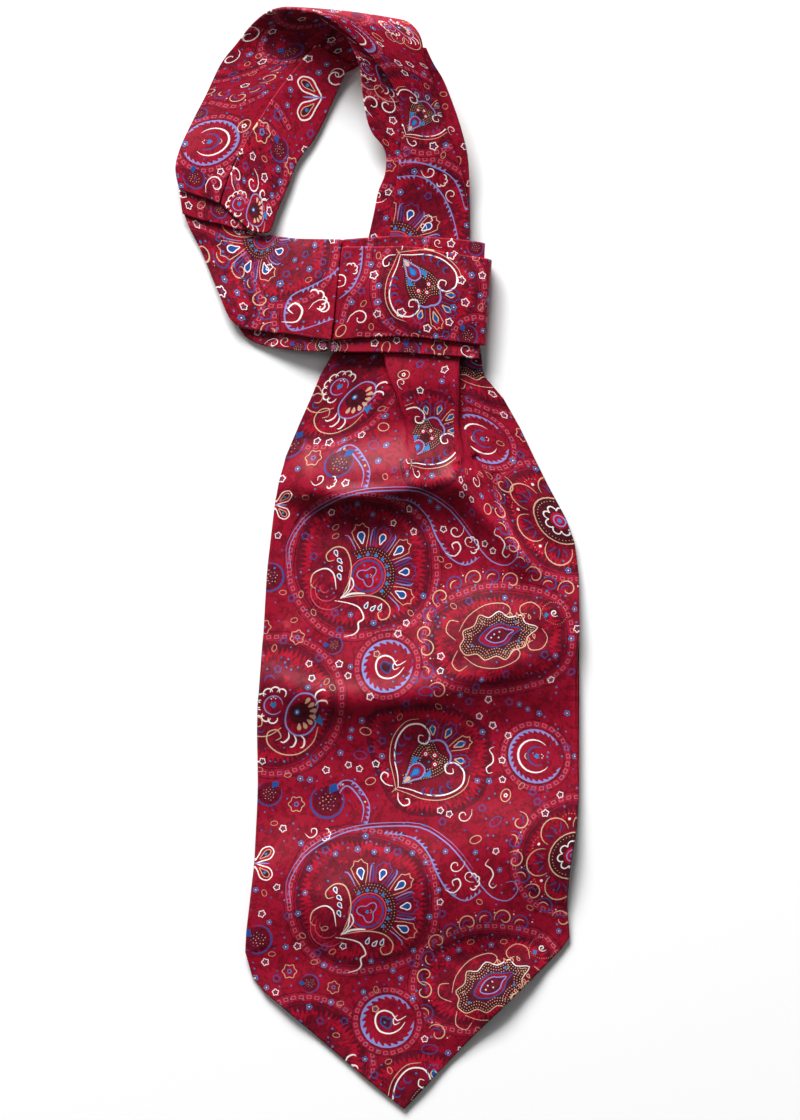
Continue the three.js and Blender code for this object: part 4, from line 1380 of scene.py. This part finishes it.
BLADE_MOTIFS = (
    ("crescent_ring", 52, 60, 0, 0.92),
    ("crescent_ring", 79, -98.5, 0, 1.0),
    ("drop_roundel", 5, -53.5, 0, 0.95),
    ("drop_roundel", 5, -231, 0, 0.96),
    ("comma", -19, 48, -30, 1.1),
    ("comma", -43, 57, -20, 1.0),
    ("comma", -25, -121, -20, 1.3),
    ("comma", -54, -117, -30, 0.98),
    ("comma", -54, -9, 60, 1.1),
    ("comma", -60, -190, 60, 1.1),
    ("comma", -22, -43, 90, 0.7),
    ("comma", -34, -212, 90, 0.7),
    ("blossom", -32, 50.5, 0, 1.0),
    ("blossom", -40.5, -122.5, 0, 1.0),
    ("blossom", 79, 62, 0, 0.9),
    ("drop_pair", -57, 27, -90, 0.8),
    ("drop_pair", -62, -152, -90, 0.95),
    ("oval", 3, 66, -20, 1.0),
    ("blue_oval", -2, 57, -24, 0.9),
    ("oval", -6, -86, -14, 1.0),
    ("blue_oval", -8.5, -98, -10, 1.0),
    ("oval", -3.5, -111, 20, 0.9),
    ("seed_oval", 64, -118, 80, 1.1),
    ("blue_oval", 59, -131, 40, 1.0),
    ("oval", 49, -140, 20, 1.0),
    ("oval", 55, 25, 45, 1.1),
    ("blue_oval", 24, -66, 0, 1.1),
    ("blue_oval", 26, -245, 0, 1.2),
    ("seed_oval", 13, 92, 0, 1.0),
    ("curl", 49, 39, 150, 1.5),
    ("curl", 43, -128, 150, 1.5),
    ("curl", 12, 88, 20, 1.0),
    ("s_scroll", 56, -101, 0, 1.1),
    ("s_scroll", 62, 7, 30, 1.2),
    ("s_scroll", 56, -158, 30, 1.2),
    ("sprout", -27, 39, -10, 1.1),
    ("sprout", -30, -137, -10, 1.1),
    ("sprout", 42, 6, 10, 1.5),
    ("sprout", 42, -162, 10, 1.5),
    ("curl", 39, 14, 140, 1.5),
    ("curl", 39, -153, 140, 1.5),
    ("curl", 46, 9, 60, 1.2),
    ("curl", 46, -158, 60, 1.2),
    ("blossom", -44, -206, 0, 0.9),
    ("blossom", -22, -214, 20, 0.8),
    ("blossom", -40, -39, 20, 0.9),
    ("blossom", -58, -34, 0, 0.9),
)
# Motifs strewn between the others: name, size and the room round each.
SEEDS = (
    ("white_floret", 1.05, 3.4),
    ("sky_floret", 1.25, 3.0),
    ("cobalt_floret", 1.0, 3.0),
    ("white_floret", 0.95, 2.8),
    ("oval", 0.6, 3.0),
    ("sky_floret", 1.1, 2.6),
)
GROUND_INKS = ("crimson", "ribbon", "burgundy", "garnet", "leaf", "rose")
BLADE_TRIES = 2600  # places tried for small flowers and specks on the blade
AREA_PER_TRY = 14  # square millimetres of a band piece for each place tried
SPECKS_FROM = 0.45  # share of the tries after which only specks are set
SPECK_ROOM = 1.5


def blade_flat(points):
    """Flat places of the threads under a line seen on the blade."""
    return [blade_place(x, y) for x, y in points]


def scatter(pad, outline, draw, tries):
    """Small flowers, ovals and specks in the places that the drawing has left free."""
    taken = np.array([p for ink, shape in pad.shapes if ink not in GROUND_INKS for p in shape])
    xs, ys = [p[0] for p in outline], [p[1] for p in outline]
    for k in range(tries):
        at = (draw.uniform(min(xs), max(xs)), draw.uniform(min(ys), max(ys)))
        name, size, room = SEEDS[k % len(SEEDS)]
        if k > tries * SPECKS_FROM:
            name, size, room = "speck", 1.0, SPECK_ROOM
        if np.min(np.hypot(taken[:, 0] - at[0], taken[:, 1] - at[1])) < room:
            continue
        before = len(pad.shapes)
        if name == "speck":
            pad.dot(("sky", "cobalt", "sky")[k % 3], at, draw.uniform(0.4, 0.62), 5)
        else:
            pad.add(MOTIFS[name](), draw.uniform(0, 360), at, size)
        fresh = [p for _, shape in pad.shapes[before:] for p in shape] + [at]
        taken = np.concatenate([taken, np.array(fresh)])


def blade_print():
    draw = random.Random(11)
    pad = Pad()
    medallions = []
    for rim, name, at, turn, size, chained in BLADE_MEDALLIONS:
        centre = blade_place(*at)
        if isinstance(rim, int):
            rim = round_rim(*centre, rim)
        else:
            rim = with_area_ahead(through(blade_flat(rim), 2, True))
        medallions.append((rim, name, centre, turn, size, chained))
    for rim, *_, chained in medallions:
        if chained:
            pad.add(chain_band(moved_aside(rim, -3.4), 4.4, True))
    for rim, *_ in medallions:
        pad.add(field(rim, draw))
    for line in BLADE_SCALLOPS:
        pad.add(scallops(through(blade_flat(line), 4)))
    for step in ((0, 0), DOWN):
        pad.add(twin_arc(through(blade_flat(moved(CLUB_BACK, step)), 3)))
        pad.add(tooth_arc(through(blade_flat(moved(CLUB_BELLY, step)), 4), 0.0, 1.0))
        pad.add(tooth_arc(through(blade_flat(moved(SHORT_ARC, step)), 4), 3.0))
    for _, name, centre, turn, size, _ in medallions:
        pad.add(MOTIFS[name](), turn, centre, size)
    for name, x, y, turn, size in BLADE_MOTIFS:
        pad.add(MOTIFS[name](), turn, blade_place(x, y), size)
    scatter(pad, blade_outline(), draw, BLADE_TRIES)
    return pad


LOWER_ARC = (
    (-16, 147.5), (-22, 142.5), (-33, 136.5), (-43, 131), (-46.5, 122), (-43, 114), (-32, 116.5),
    (-21, 120),
)
# Print of the band pieces: round fields with their radius, chains through points, toothed arcs with
# their gap and hollow side, rows of scallops, and motifs with their turn and size. Places and turns
# are as seen from above.
BAND_PRINTS = {
    "outer_left": {
        # The last two fields lie in the hollow of the roll and are there to darken it: painted shade laid
        # down as print.
        "fields": ((-71, 250, 16), (-97, 178, 13), (-38, 262, 15), (-16, 252, 9)),
        "chains": (((-98, 216), (-88, 228), (-72, 226), (-58, 231)), ((-93, 193), (-79, 190), (-66, 196))),
        "scallops": (((-88, 236), (-80, 232.6), (-67.5, 231), (-59.8, 236), (-50, 246)),),
        "motifs": (
            ("crescent_ring", -83.4, 208.5, 165, 0.95),
            ("comma", -91, 223, 30, 0.7),
            ("comma", -92, 190, 10, 0.85),
            ("curl", -81, 187, -30, 1.9),
            ("seed_oval", -66.9, 216.3, 60, 1.2),
            ("comma", -44.4, 253, 40, 0.9),
            ("curl", -64, 262, 200, 2.2),
            ("curl", -73, 250, 160, 1.6),
        ),
    },
    "outer_right": {
        "fields": ((-26, 290, 16), (22.8, 172, 25), (22, 224, 20)),
        "chains": (((6, 201), (18, 202), (30, 201), (41, 192)),),
        "arcs": (
            (((9, 197.5), (18, 197.5), (27, 196), (38, 188), (44, 176)), 0.0, 1.0),
            (((9, 191), (20, 190.5), (28.3, 186), (36, 175), (40.4, 160)), 0.0, -1.0),
        ),
        "motifs": (
            ("crescent_ring", -14, 263, 120, 0.86),
            ("scroll_flower", 6.3, 265, 60, 0.6),
            ("oval", 1, 260, 0, 0.9),
            ("heart_scroll", 20.5, 221, -34, 0.66),
            ("white_floret", 28, 204.6, 0, 1.2),
            ("sky_floret", 18.4, 194.3, 0, 1.3),
            ("sprout", 28, 191, -30, 1.2),
            ("curl", 37, 182, 30, 1.3),
            ("half_daisy", 9, 147, 0, 0.95),
            ("sprout", 24, 167, 60, 0.8),
        ),
    },
    "left_inner": {
        "fields": ((-59.7, 197, 15),),
        "chains": (
            ((-68, 205), (-58, 213), (-47, 205), (-43, 192), (-45, 180)),
            ((-58, 231), (-50, 226), (-44, 216)),
        ),
        "motifs": (
            ("drop_pair", -28, 230.6, 90, 1.2),
            ("blossom", -57.5, 213.5, 0, 1.25),
            ("cobalt_floret", -49.9, 221.8, 0, 1.4),
            ("comma", -48.7, 204.7, 30, 0.85),
            ("blossom", -42.7, 196.5, 10, 1.0),
            ("curl", -70, 191, 30, 1.9),
            ("curl", -62.6, 187.4, 200, 1.9),
            ("scroll_flower", -69, 177, -20, 0.8),
            ("white_floret", -56.7, 190.4, 0, 1.1),
            ("curl", -57, 182.5, 100, 1.1),
            ("white_floret", -54, 174, 0, 1.1),
            ("curl", -21, 241, 120, 2.0),
        ),
    },
    "right_inner": {
        "fields": ((2, 214, 13), (-2, 168, 15), (0, 240, 9)),
        "chains": (((-6, 205), (4, 209), (16, 204)), ((-2, 186), (6, 184), (14, 178))),
        "motifs": (
            ("scroll_flower", -5, 244.3, 20, 0.8),
            ("comma", 4.8, 237.7, 0, 0.6),
            ("curl", -2.6, 226.6, 20, 1.9),
            ("curl", 5, 226.4, 190, 1.9),
            ("white_floret", 7.9, 219, 0, 1.1),
            ("curl", 0.2, 181.6, 90, 1.4),
            ("blossom", 6, 196, 0, 0.8),
        ),
    },
    "right_under": {
        "motifs": (
            ("curl", 37, 214, 20, 0.9),
            ("oval", 40, 198, 70, 0.9),
            ("white_floret", 43, 182, 0, 0.9),
        ),
    },
    "lower": {
        "fields": ((-44, 153, 25), (-82, 137, 17)),
        "chains": (
            ((-14, 154), (-22, 144), (-40, 138), (-50, 127), (-51, 113)),
            ((-90, 152), (-74, 151), (-62, 140), (-58, 124)),
        ),
        "arcs": ((LOWER_ARC, 0.0, 1.0),),
        "scallops": (((-88, 153), (-76, 149), (-65, 140), (-57, 128), (-54, 113)),),
        "motifs": (
            ("half_daisy", -49, 174, -123, 1.0),
            ("cobalt_floret", -77.9, 159.6, 0, 1.5),
            ("white_floret", -54.2, 145.3, 0, 1.1),
            ("sky_floret", -48.7, 137, 0, 1.5),
            ("sky_floret", -33.9, 145.3, 0, 1.3),
            ("sprout", -37, 126, 30, 2.0),
            ("curl", -27, 126, -60, 1.9),
            ("white_floret", -77.9, 133.7, 0, 1.1),
            ("comma", -91, 174, 10, 0.6),
        ),
    },
    "lower_under": {
        "fields": ((-60, 118, 12),),
        "motifs": (
            ("curl", -52, 108, -60, 1.2),
            ("rosette", -27, 107, 10, 0.36),
            ("comma", -40, 106, 60, 0.6),
            ("curl", -46, 109, 60, 1.1),
            ("white_floret", -60, 113, 0, 0.9),
        ),
    },
    "corner": {
        "fields": ((-78, 172, 8),),
        "motifs": (
            ("white_floret", -94.4, 176.6, 0, 1.1),
            ("comma", -79, 175, 0, 0.7),
            ("curl", -71.8, 168, 120, 1.0),
            ("oval", -88, 177, 30, 0.8),
        ),
    },
    "wrap": {
        "fields": ((26, 136, 25), (50, 108, 10)),
        "chains": (
            ((-4, 156), (-6, 141), (-14, 130), (-18, 118)),
            ((-9, 112), (4, 111), (22, 110), (40, 110)),
        ),
        "arcs": ((((-7.5, 155), (-8.5, 145), (-12.5, 136), (-19, 130)), 0.0, -1.0),),
        "motifs": (
            ("heart_scroll", 20.4, 139.2, -147, 0.93),
            ("curl", -9, 119.5, -50, 1.9),
            ("oval", -18.5, 114, 60, 1.1),
            ("sprout", -16, 141, 50, 1.2),
            ("comma", 45, 112, 30, 0.8),
            ("white_floret", -1.5, 141.5, 0, 1.2),
            ("sky_floret", 0.2, 128.3, 0, 1.4),
            ("white_floret", 11.8, 122.8, 0, 1.3),
            ("cobalt_floret", 6.3, 118.4, 0, 1.0),
            ("white_floret", 36, 117.8, 0, 1.1),
            ("white_floret", 25, 114.9, 0, 1.1),
            ("white_floret", 43.7, 127.7, 0, 1.2),
            ("white_floret", 42, 139.2, 0, 1.2),
            ("sky_floret", 47, 142, 0, 1.3),
            ("sky_floret", 38.2, 126, 0, 1.3),
            ("white_floret", 37, 153, 0, 1.4),
        ),
    },
    "wrap_under": {
        "fields": ((30, 100, 14), (10, 162, 12)),
        "motifs": (
            ("comma", 16, 104, 20, 0.8),
            ("rosette", -22, 106, 0, 0.36),
            ("oval", 4, 105, 80, 1.0),
            ("blossom", 31, 105, 0, 1.0),
            ("curl", 44, 104, 60, 1.3),
            ("comma", 49, 156, 30, 0.7),
            ("curl", 30, 158, 60, 0.9),
        ),
    },
}


def lay_on(pad, strip, drawing, x, y, turn, size, near):
    """A drawing on a strip, so that it shows at x, y and turned as given, as seen from above."""
    u, v = strip.place(x, y, near)
    along, across = strip.view(u, v)
    for ink, points in drawing.shapes:
        laid = [
            (u + px * along[0] + py * along[1], v + px * across[0] + py * across[1])
            for px, py in turned(points, turn, (0, 0), size)
        ]
        pad.fill(ink, laid)


def band_print(strip, prints, seed):
    """Print of one strip: names of prints, each with the stretch of u that it keeps to or None."""
    draw = random.Random(seed)
    pad = Pad()

    def flat_line(line, near):
        return through([strip.place(x, y, near) for x, y in line], 4)

    for name, near in prints.items():
        layout = BAND_PRINTS[name]
        for line in layout.get("chains", ()):
            pad.add(chain_band(flat_line(line, near), 3.8))
        for x, y, radius in layout.get("fields", ()):
            rim = round_rim(*strip.place(x, y, near), radius)
            pad.add(chain_band(moved_aside(rim, -3.0), 3.8, True))
            pad.add(field(rim, draw))
        for line in layout.get("scallops", ()):
            pad.add(scallops(flat_line(line, near), 4.4))
        for line, gap, hollow in layout.get("arcs", ()):
            flat = flat_line(line, near)
            along, across = strip.view(*flat[len(flat) // 2])
            reversed_view = along[0] * across[1] - along[1] * across[0] < 0
            pad.add(tooth_arc(flat, gap, -hollow if reversed_view else hollow, 0.68))
    for name, near in prints.items():
        for motif, x, y, turn, size in BAND_PRINTS[name]["motifs"]:
            lay_on(pad, strip, MOTIFS[motif](), x, y, turn, size, near)
    area = strip.length * float(np.mean(strip.width))
    scatter(pad, strip.outline(), draw, int(area / AREA_PER_TRY))
    return pad


# Floor, lights and camera


FLOOR_REACH = 6.0
FLOOR_DROP = 0.0002


def floor():
    mesh = bpy.data.meshes.new("floor")
    corners = [(-FLOOR_REACH, -FLOOR_REACH, 0), (FLOOR_REACH, -FLOOR_REACH, 0)]
    corners += [(FLOOR_REACH, FLOOR_REACH, 0), (-FLOOR_REACH, FLOOR_REACH, 0)]
    mesh.from_pydata(corners, [], [(0, 1, 2, 3)])
    plane = bpy.data.objects.new("floor", mesh)
    bpy.context.scene.collection.objects.link(plane)
    plane.location.z = -FLOOR_DROP
    material = bpy.data.materials.new("pale_floor")
    material.use_nodes = True
    surface = material.node_tree.nodes["Principled BSDF"]
    surface.inputs["Base Color"].default_value = (0.9, 0.9, 0.9, 1)
    surface.inputs["Roughness"].default_value = 0.9
    mesh.materials.append(material)


def area_light(name, place, width, height, power):
    """Soft window of light that looks at the origin."""
    light = bpy.data.lights.new(name, "AREA")
    light.shape = "RECTANGLE"
    light.size = width
    light.size_y = height
    light.energy = power
    lamp = bpy.data.objects.new(name, light)
    bpy.context.scene.collection.objects.link(lamp)
    lamp.location = place
    lamp.rotation_euler = (-Vector(place)).to_track_quat("-Z", "Y").to_euler()


VIEW_HEIGHT = 0.560  # what the photograph's long side spans, at half a millimetre a pixel
VIEW_CENTRE = (0.01125, -0.0005)
CAMERA_HEIGHT = 4.5
SENSOR = 36.0
SKY_STRENGTH = 0.10
# Windows of light: name, place, width and height in metres, and watts.
WINDOWS = (
    ("top_window", (-1.3, 4.8, 2.55), 3.2, 1.8, 720),
    ("left_fill", (-2.6, 1.4, 2.6), 1.8, 1.8, 18),
    ("right_fill", (2.6, 1.2, 2.4), 1.8, 1.8, 9),
)


def camera():
    data = bpy.data.cameras.new("camera")
    data.sensor_fit = "VERTICAL"
    data.sensor_height = SENSOR
    data.lens = SENSOR * CAMERA_HEIGHT / VIEW_HEIGHT
    data.clip_end = 50
    eye = bpy.data.objects.new("camera", data)
    bpy.context.scene.collection.objects.link(eye)
    eye.location = (*VIEW_CENTRE, CAMERA_HEIGHT)
    bpy.context.scene.camera = eye


def studio():
    world = bpy.data.worlds.new("studio")
    world.use_nodes = True
    sky = world.node_tree.nodes["Background"]
    sky.inputs["Color"].default_value = (1.0, 1.0, 1.0, 1)
    sky.inputs["Strength"].default_value = SKY_STRENGTH
    bpy.context.scene.world = world
    for window in WINDOWS:
        area_light(*window)
    bpy.context.scene.view_settings.view_transform = "Standard"


# Finish of the silk


RIB_WANDER = 0.35  # how far the ribs stray from straight
THREAD_LEAN = 1.3
THREAD_PITCH = 0.42
THREAD_DEPTH = 0.35  # height of a thread as a share of a rib's
FURROW_PAINTED_SHADE = 0.76  # painted shade: brightness of the ink between ribs; and painted highlight: how much more a rib's top has
RIB_PAINTED_HIGHLIGHT = 0.48
FURROW_ROUGHNESS = 0.5
RIB_SMOOTHER = 0.08
GROUND_GREEN = 0.02  # ground colours have less green than this, line colours more


def node_group(name, inputs, outputs):
    """New shader node group with named sockets; returns the group and its two ends."""
    group = bpy.data.node_groups.new(name, "ShaderNodeTree")
    for label, kind, value in inputs:
        socket = group.interface.new_socket(label, in_out="INPUT", socket_type=kind)
        if value is not None:
            socket.default_value = value
    for label, kind in outputs:
        group.interface.new_socket(label, in_out="OUTPUT", socket_type=kind)
    return group, group.nodes.new("NodeGroupInput"), group.nodes.new("NodeGroupOutput")


def node(tree, kind, operation=None, values=None):
    """Shader node, with values on its named inputs."""
    made = tree.nodes.new(kind)
    if operation:
        made.operation = operation
    for name, value in (values or {}).items():
        made.inputs[name].default_value = value
    return made


def math_node(tree, operation, a, b=None):
    """Result of a sum on values or sockets."""
    made = node(tree, "ShaderNodeMath", operation)
    for socket, value in zip(made.inputs, (a, b)):
        if value is None:
            continue
        if isinstance(value, (int, float)):
            socket.default_value = value
        else:
            tree.links.new(value, socket)
    return made.outputs[0]


def scaled_node(tree, value, factor, offset):
    """A value times a factor, plus an offset."""
    return math_node(tree, "ADD", math_node(tree, "MULTIPLY", value, factor), offset)


def noise_node(tree, place, values):
    """Soft noise at a place, from 0 to 1."""
    made = node(tree, "ShaderNodeTexNoise", values=values)
    tree.links.new(place, made.inputs["Vector"])
    return made.outputs[0]


def in_patches(group, start, size):
    """The group's place on the cloth, counted in patches of the size that its input gives."""
    scaled = node(group, "ShaderNodeVectorMath", "SCALE")
    group.links.new(start.outputs["Cloth"], scaled.inputs[0])
    group.links.new(math_node(group, "DIVIDE", 1.0, start.outputs[size]), scaled.inputs["Scale"])
    return scaled.outputs[0]


def twill_group():
    """Fine diagonal ribs with threads across them: height of the weave and a slight shade that paints the
    furrows darker and the rib tops lighter.
    """
    group, start, end = node_group(
        "twill_weave",
        [
            ("Cloth", "NodeSocketVector", None),
            ("Rib Pitch", "NodeSocketFloat", 0.9),
            ("Lean", "NodeSocketFloat", 0.7),
        ],
        [("Height", "NodeSocketFloat"), ("Shade", "NodeSocketFloat")],
    )
    split = node(group, "ShaderNodeSeparateXYZ")
    group.links.new(start.outputs["Cloth"], split.inputs[0])
    wander = noise_node(group, start.outputs["Cloth"], {"Scale": 0.6, "Detail": 1.0})
    rib = math_node(group, "MULTIPLY", split.outputs[0], start.outputs["Lean"])
    rib = math_node(group, "ADD", rib, split.outputs[1])
    rib = math_node(group, "ADD", rib, math_node(group, "MULTIPLY", wander, RIB_WANDER))
    rib = math_node(group, "DIVIDE", rib, start.outputs["Rib Pitch"])
    rib = math_node(group, "SINE", math_node(group, "MULTIPLY", rib, 2 * math.pi))
    across = math_node(group, "MULTIPLY", split.outputs[0], THREAD_LEAN)
    thread = math_node(group, "SUBTRACT", across, split.outputs[1])
    thread = math_node(group, "SINE", math_node(group, "MULTIPLY", thread, 2 * math.pi / THREAD_PITCH))
    height = math_node(group, "ADD", rib, math_node(group, "MULTIPLY", thread, THREAD_DEPTH))
    group.links.new(height, end.inputs["Height"])
    group.links.new(scaled_node(group, rib, 0.5, 0.5), end.inputs["Shade"])
    return group


def mottle_group():
    """Soft uneven tone, as dye and light handling leave on silk."""
    group, start, end = node_group(
        "silk_mottle",
        [
            ("Cloth", "NodeSocketVector", None),
            ("Patch Size", "NodeSocketFloat", 14.0),
            ("Amount", "NodeSocketFloat", 0.2),
        ],
        [("Tone", "NodeSocketFloat")],
    )
    noise = noise_node(group, in_patches(group, start, "Patch Size"), {"Scale": 1.0, "Detail": 3.0})
    centred = math_node(group, "SUBTRACT", noise, 0.5)
    tone = math_node(group, "ADD", math_node(group, "MULTIPLY", centred, start.outputs["Amount"]), 1.0)
    group.links.new(tone, end.inputs["Tone"])
    return group


def leafy_ground_group():
    """Dark leafy mottling that the ground colours of the print carry and its line colours don't."""
    group, start, end = node_group(
        "leafy_ground",
        [
            ("Cloth", "NodeSocketVector", None),
            ("Ink", "NodeSocketColor", None),
            ("Leaf Size", "NodeSocketFloat", 2.6),
            ("Darkest", "NodeSocketFloat", 0.6),
        ],
        [("Tone", "NodeSocketFloat")],
    )
    links = group.links
    place = in_patches(group, start, "Leaf Size")
    bend = noise_node(group, place, {"Scale": 0.45, "Detail": 1.0})
    leaves = noise_node(group, place, {"Scale": 1.0, "Detail": 2.0, "Distortion": 1.6})
    value = math_node(group, "ADD", leaves, math_node(group, "MULTIPLY", bend, 0.55))
    step = node(group, "ShaderNodeMapRange", values={"From Min": 0.70, "From Max": 0.78, "To Max": 1.0})
    links.new(start.outputs["Darkest"], step.inputs["To Min"])
    links.new(value, step.inputs["Value"])
    split = node(group, "ShaderNodeSeparateColor")
    links.new(start.outputs["Ink"], split.inputs[0])
    lined = math_node(group, "GREATER_THAN", split.outputs[1], GROUND_GREEN)
    links.new(math_node(group, "MAXIMUM", lined, step.outputs[0]), end.inputs["Tone"])
    return group


def silk_material():
    material = bpy.data.materials.new("printed_silk")
    material.use_nodes = True
    tree = material.node_tree
    links = tree.links
    surface = tree.nodes["Principled BSDF"]
    ink = node(tree, "ShaderNodeVertexColor")
    ink.layer_name = "ink"
    cloth = node(tree, "ShaderNodeAttribute")
    cloth.attribute_name = "cloth_mm"
    twill, mottle, leafy = (node(tree, "ShaderNodeGroup") for _ in range(3))
    twill.node_tree = twill_group()
    mottle.node_tree = mottle_group()
    leafy.node_tree = leafy_ground_group()
    mottle.inputs["Amount"].default_value = 0.42
    for group in (twill, mottle, leafy):
        links.new(cloth.outputs["Vector"], group.inputs["Cloth"])
    links.new(ink.outputs["Color"], leafy.inputs["Ink"])
    # The ink is darkened in the twill's furrows and lightened on its rib tops: painted shade and painted
    # highlight, on top of the bump below.
    rib_painted_light = scaled_node(tree, twill.outputs["Shade"], RIB_PAINTED_HIGHLIGHT, FURROW_PAINTED_SHADE)
    tone = math_node(tree, "MULTIPLY", rib_painted_light, mottle.outputs["Tone"])
    tone = math_node(tree, "MULTIPLY", tone, leafy.outputs["Tone"])
    tinted = node(tree, "ShaderNodeVectorMath", "SCALE")
    links.new(ink.outputs["Color"], tinted.inputs[0])
    links.new(tone, tinted.inputs["Scale"])
    links.new(tinted.outputs[0], surface.inputs["Base Color"])
    rough = scaled_node(tree, twill.outputs["Shade"], -RIB_SMOOTHER, FURROW_ROUGHNESS)
    links.new(rough, surface.inputs["Roughness"])
    surface.inputs["Specular IOR Level"].default_value = 0.16
    bump = node(tree, "ShaderNodeBump", values={"Strength": 0.22, "Distance": 0.1 * MM})
    links.new(twill.outputs["Height"], bump.inputs["Height"])
    links.new(bump.outputs["Normal"], surface.inputs["Normal"])
    return material


# Pieces


SILK = silk_material()
FRONT_GRID = (3.0, 3.0)  # spacing of the blade's mesh across and along it
BACK_GRID = (3.6, 3.6)
SMALLEST_BEHIND = 1.5  # smallest shape of the print, in square millimetres, on the hidden side
DRAWN_IN = 2.4  # gathering at which the cloth under a pleat's edge is out of sight
CORE_RINGS = 22
CORE_AROUND = 64
CORE_PLEAT = 0.03  # depth of its pleats as a share of its half width


def finish_piece(piece, nodes):
    """Gives the piece its material and the root body to ride on, and hides the solids that it stands for."""
    piece.data.materials.append(SILK)
    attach(piece, "root")
    if nodes:
        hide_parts(*nodes)


def gathered(p, y):
    """True where the cloth is drawn in under a pleat's edge, out of sight."""
    return blade_threads(p, y)[3] > DRAWN_IN


def blade():
    outline = blade_outline()
    pad = blade_print()
    front = shell("blade_front", blade_face, outline, pad, FRONT_GRID, 1, False, gathered)
    finish_piece(front, ["blade"])
    plain = Pad()
    for ink, shape in pad.shapes:
        if ink != "leaf" and abs(signed_area(shape)) > SMALLEST_BEHIND:
            plain.fill(ink, shape)
    back = shell("blade_back", blade_under, outline, plain, BACK_GRID, -1, False, gathered)
    finish_piece(back, [])


# Name and strip; its prints with the stretch of u that each keeps to; the solids that it stands for;
# what it rests on, how it is held, and the spacing of its mesh along u.
BANDS = (
    (
        "band_outer_leaf", OUTER_LEAF, {"outer_left": (0, 130), "outer_right": (110, 400)},
        ["band_left_outer", "band_roll", "band_right_outer"],
        ["band_corner_tuck", "band_right_inner_leaf"], "folded", 2.6,
    ),
    (
        "band_left_inner_leaf", LEFT_INNER_LEAF, {"left_inner": None},
        ["band_left_inner"],
        ["band_outer_leaf"], "laid", 3.0,
    ),
    (
        "band_right_inner_leaf", RIGHT_INNER_LEAF, {"right_inner": None},
        ["band_right_inner"],
        ["blade_front"], "folded", 2.6,
    ),
    (
        "band_right_under_leaf", RIGHT_UNDER_LEAF, {"right_under": None},
        ["band_right_under"],
        ["blade_front"], "folded", 2.6,
    ),
    (
        "band_lower_run", LOWER_RUN, {"lower": None},
        ["band_lower"],
        ["band_lower_under_leaf"], "laid", 3.0,
    ),
    (
        "band_lower_under_leaf", LOWER_UNDER_LEAF, {"lower_under": None},
        ["band_lower_under"],
        ["table"], "laid", 3.0,
    ),
    (
        "band_corner_tuck", CORNER_TUCK, {"corner": None},
        ["corner_tuck"],
        ["band_lower_run"], "folded", 3.0,
    ),
    (
        "band_wrap", WRAP, {"wrap": (0, 75)},
        ["wrap_front"],
        ["band_wrap_under_leaf"], "folded", 1.2,
    ),
    (
        "band_wrap_under_leaf", WRAP_UNDER_LEAF, {"wrap_under": None},
        ["wrap_under"],
        ["gathered_core"], "laid", 3.0,
    ),
)


def band_pieces():
    for seed, (name, strip, prints, nodes, rests_on, held, step) in enumerate(BANDS, 21):
        outline = strip.outline()
        piece = shell(name, strip.face, outline, band_print(strip, prints, seed), (step, 3.0), strip.upside)
        finish_piece(piece, nodes)


def gathered_core():
    """The gathered neck and the band ends that the wrap hides: one rounded stack of folded layers."""
    low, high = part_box("knot_core")
    centre, half = (low + high) / 2, (high - low) / 2
    verts, flat = [], []
    for j in range(CORE_RINGS + 1):
        tilt = math.pi * (j / CORE_RINGS - 0.5)
        pleat = 1 - CORE_PLEAT * (1 + math.cos(6 * math.pi * j / CORE_RINGS))
        reach = max(0.0, math.cos(tilt)) ** 0.12 * pleat
        for i in range(CORE_AROUND):
            angle = 2 * math.pi * i / CORE_AROUND
            square = (abs(math.cos(angle)) ** 8 + abs(math.sin(angle)) ** 8) ** (-1 / 8)
            verts.append((
                centre.x + half.x * reach * square * math.cos(angle),
                centre.y + half.y * reach * square * math.sin(angle),
                centre.z + half.z * math.sin(tilt),
            ))
            flat.append((100 * i / CORE_AROUND, 60 * j / CORE_RINGS))
    faces = []
    for j in range(CORE_RINGS):
        ring, above = j * CORE_AROUND, (j + 1) * CORE_AROUND
        for i in range(CORE_AROUND):
            after = (i + 1) % CORE_AROUND
            faces.append((ring + i, ring + after, above + after, above + i))
    faces.append(tuple(range(CORE_AROUND))[::-1])
    faces.append(tuple(range(CORE_RINGS * CORE_AROUND, len(verts))))
    norms = np.array([tuple((Vector(v) - centre).normalized()) for v in verts])
    inks = ["burgundy"] * len(faces)
    piece = printed_mesh("gathered_core", np.array(verts) / MM, norms, np.array(flat), faces, inks, None)
    piece.data.materials.append(SILK)
    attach(piece, "root")
    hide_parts("knot_core")


blade()
band_pieces()
gathered_core()
floor()
camera()
studio()
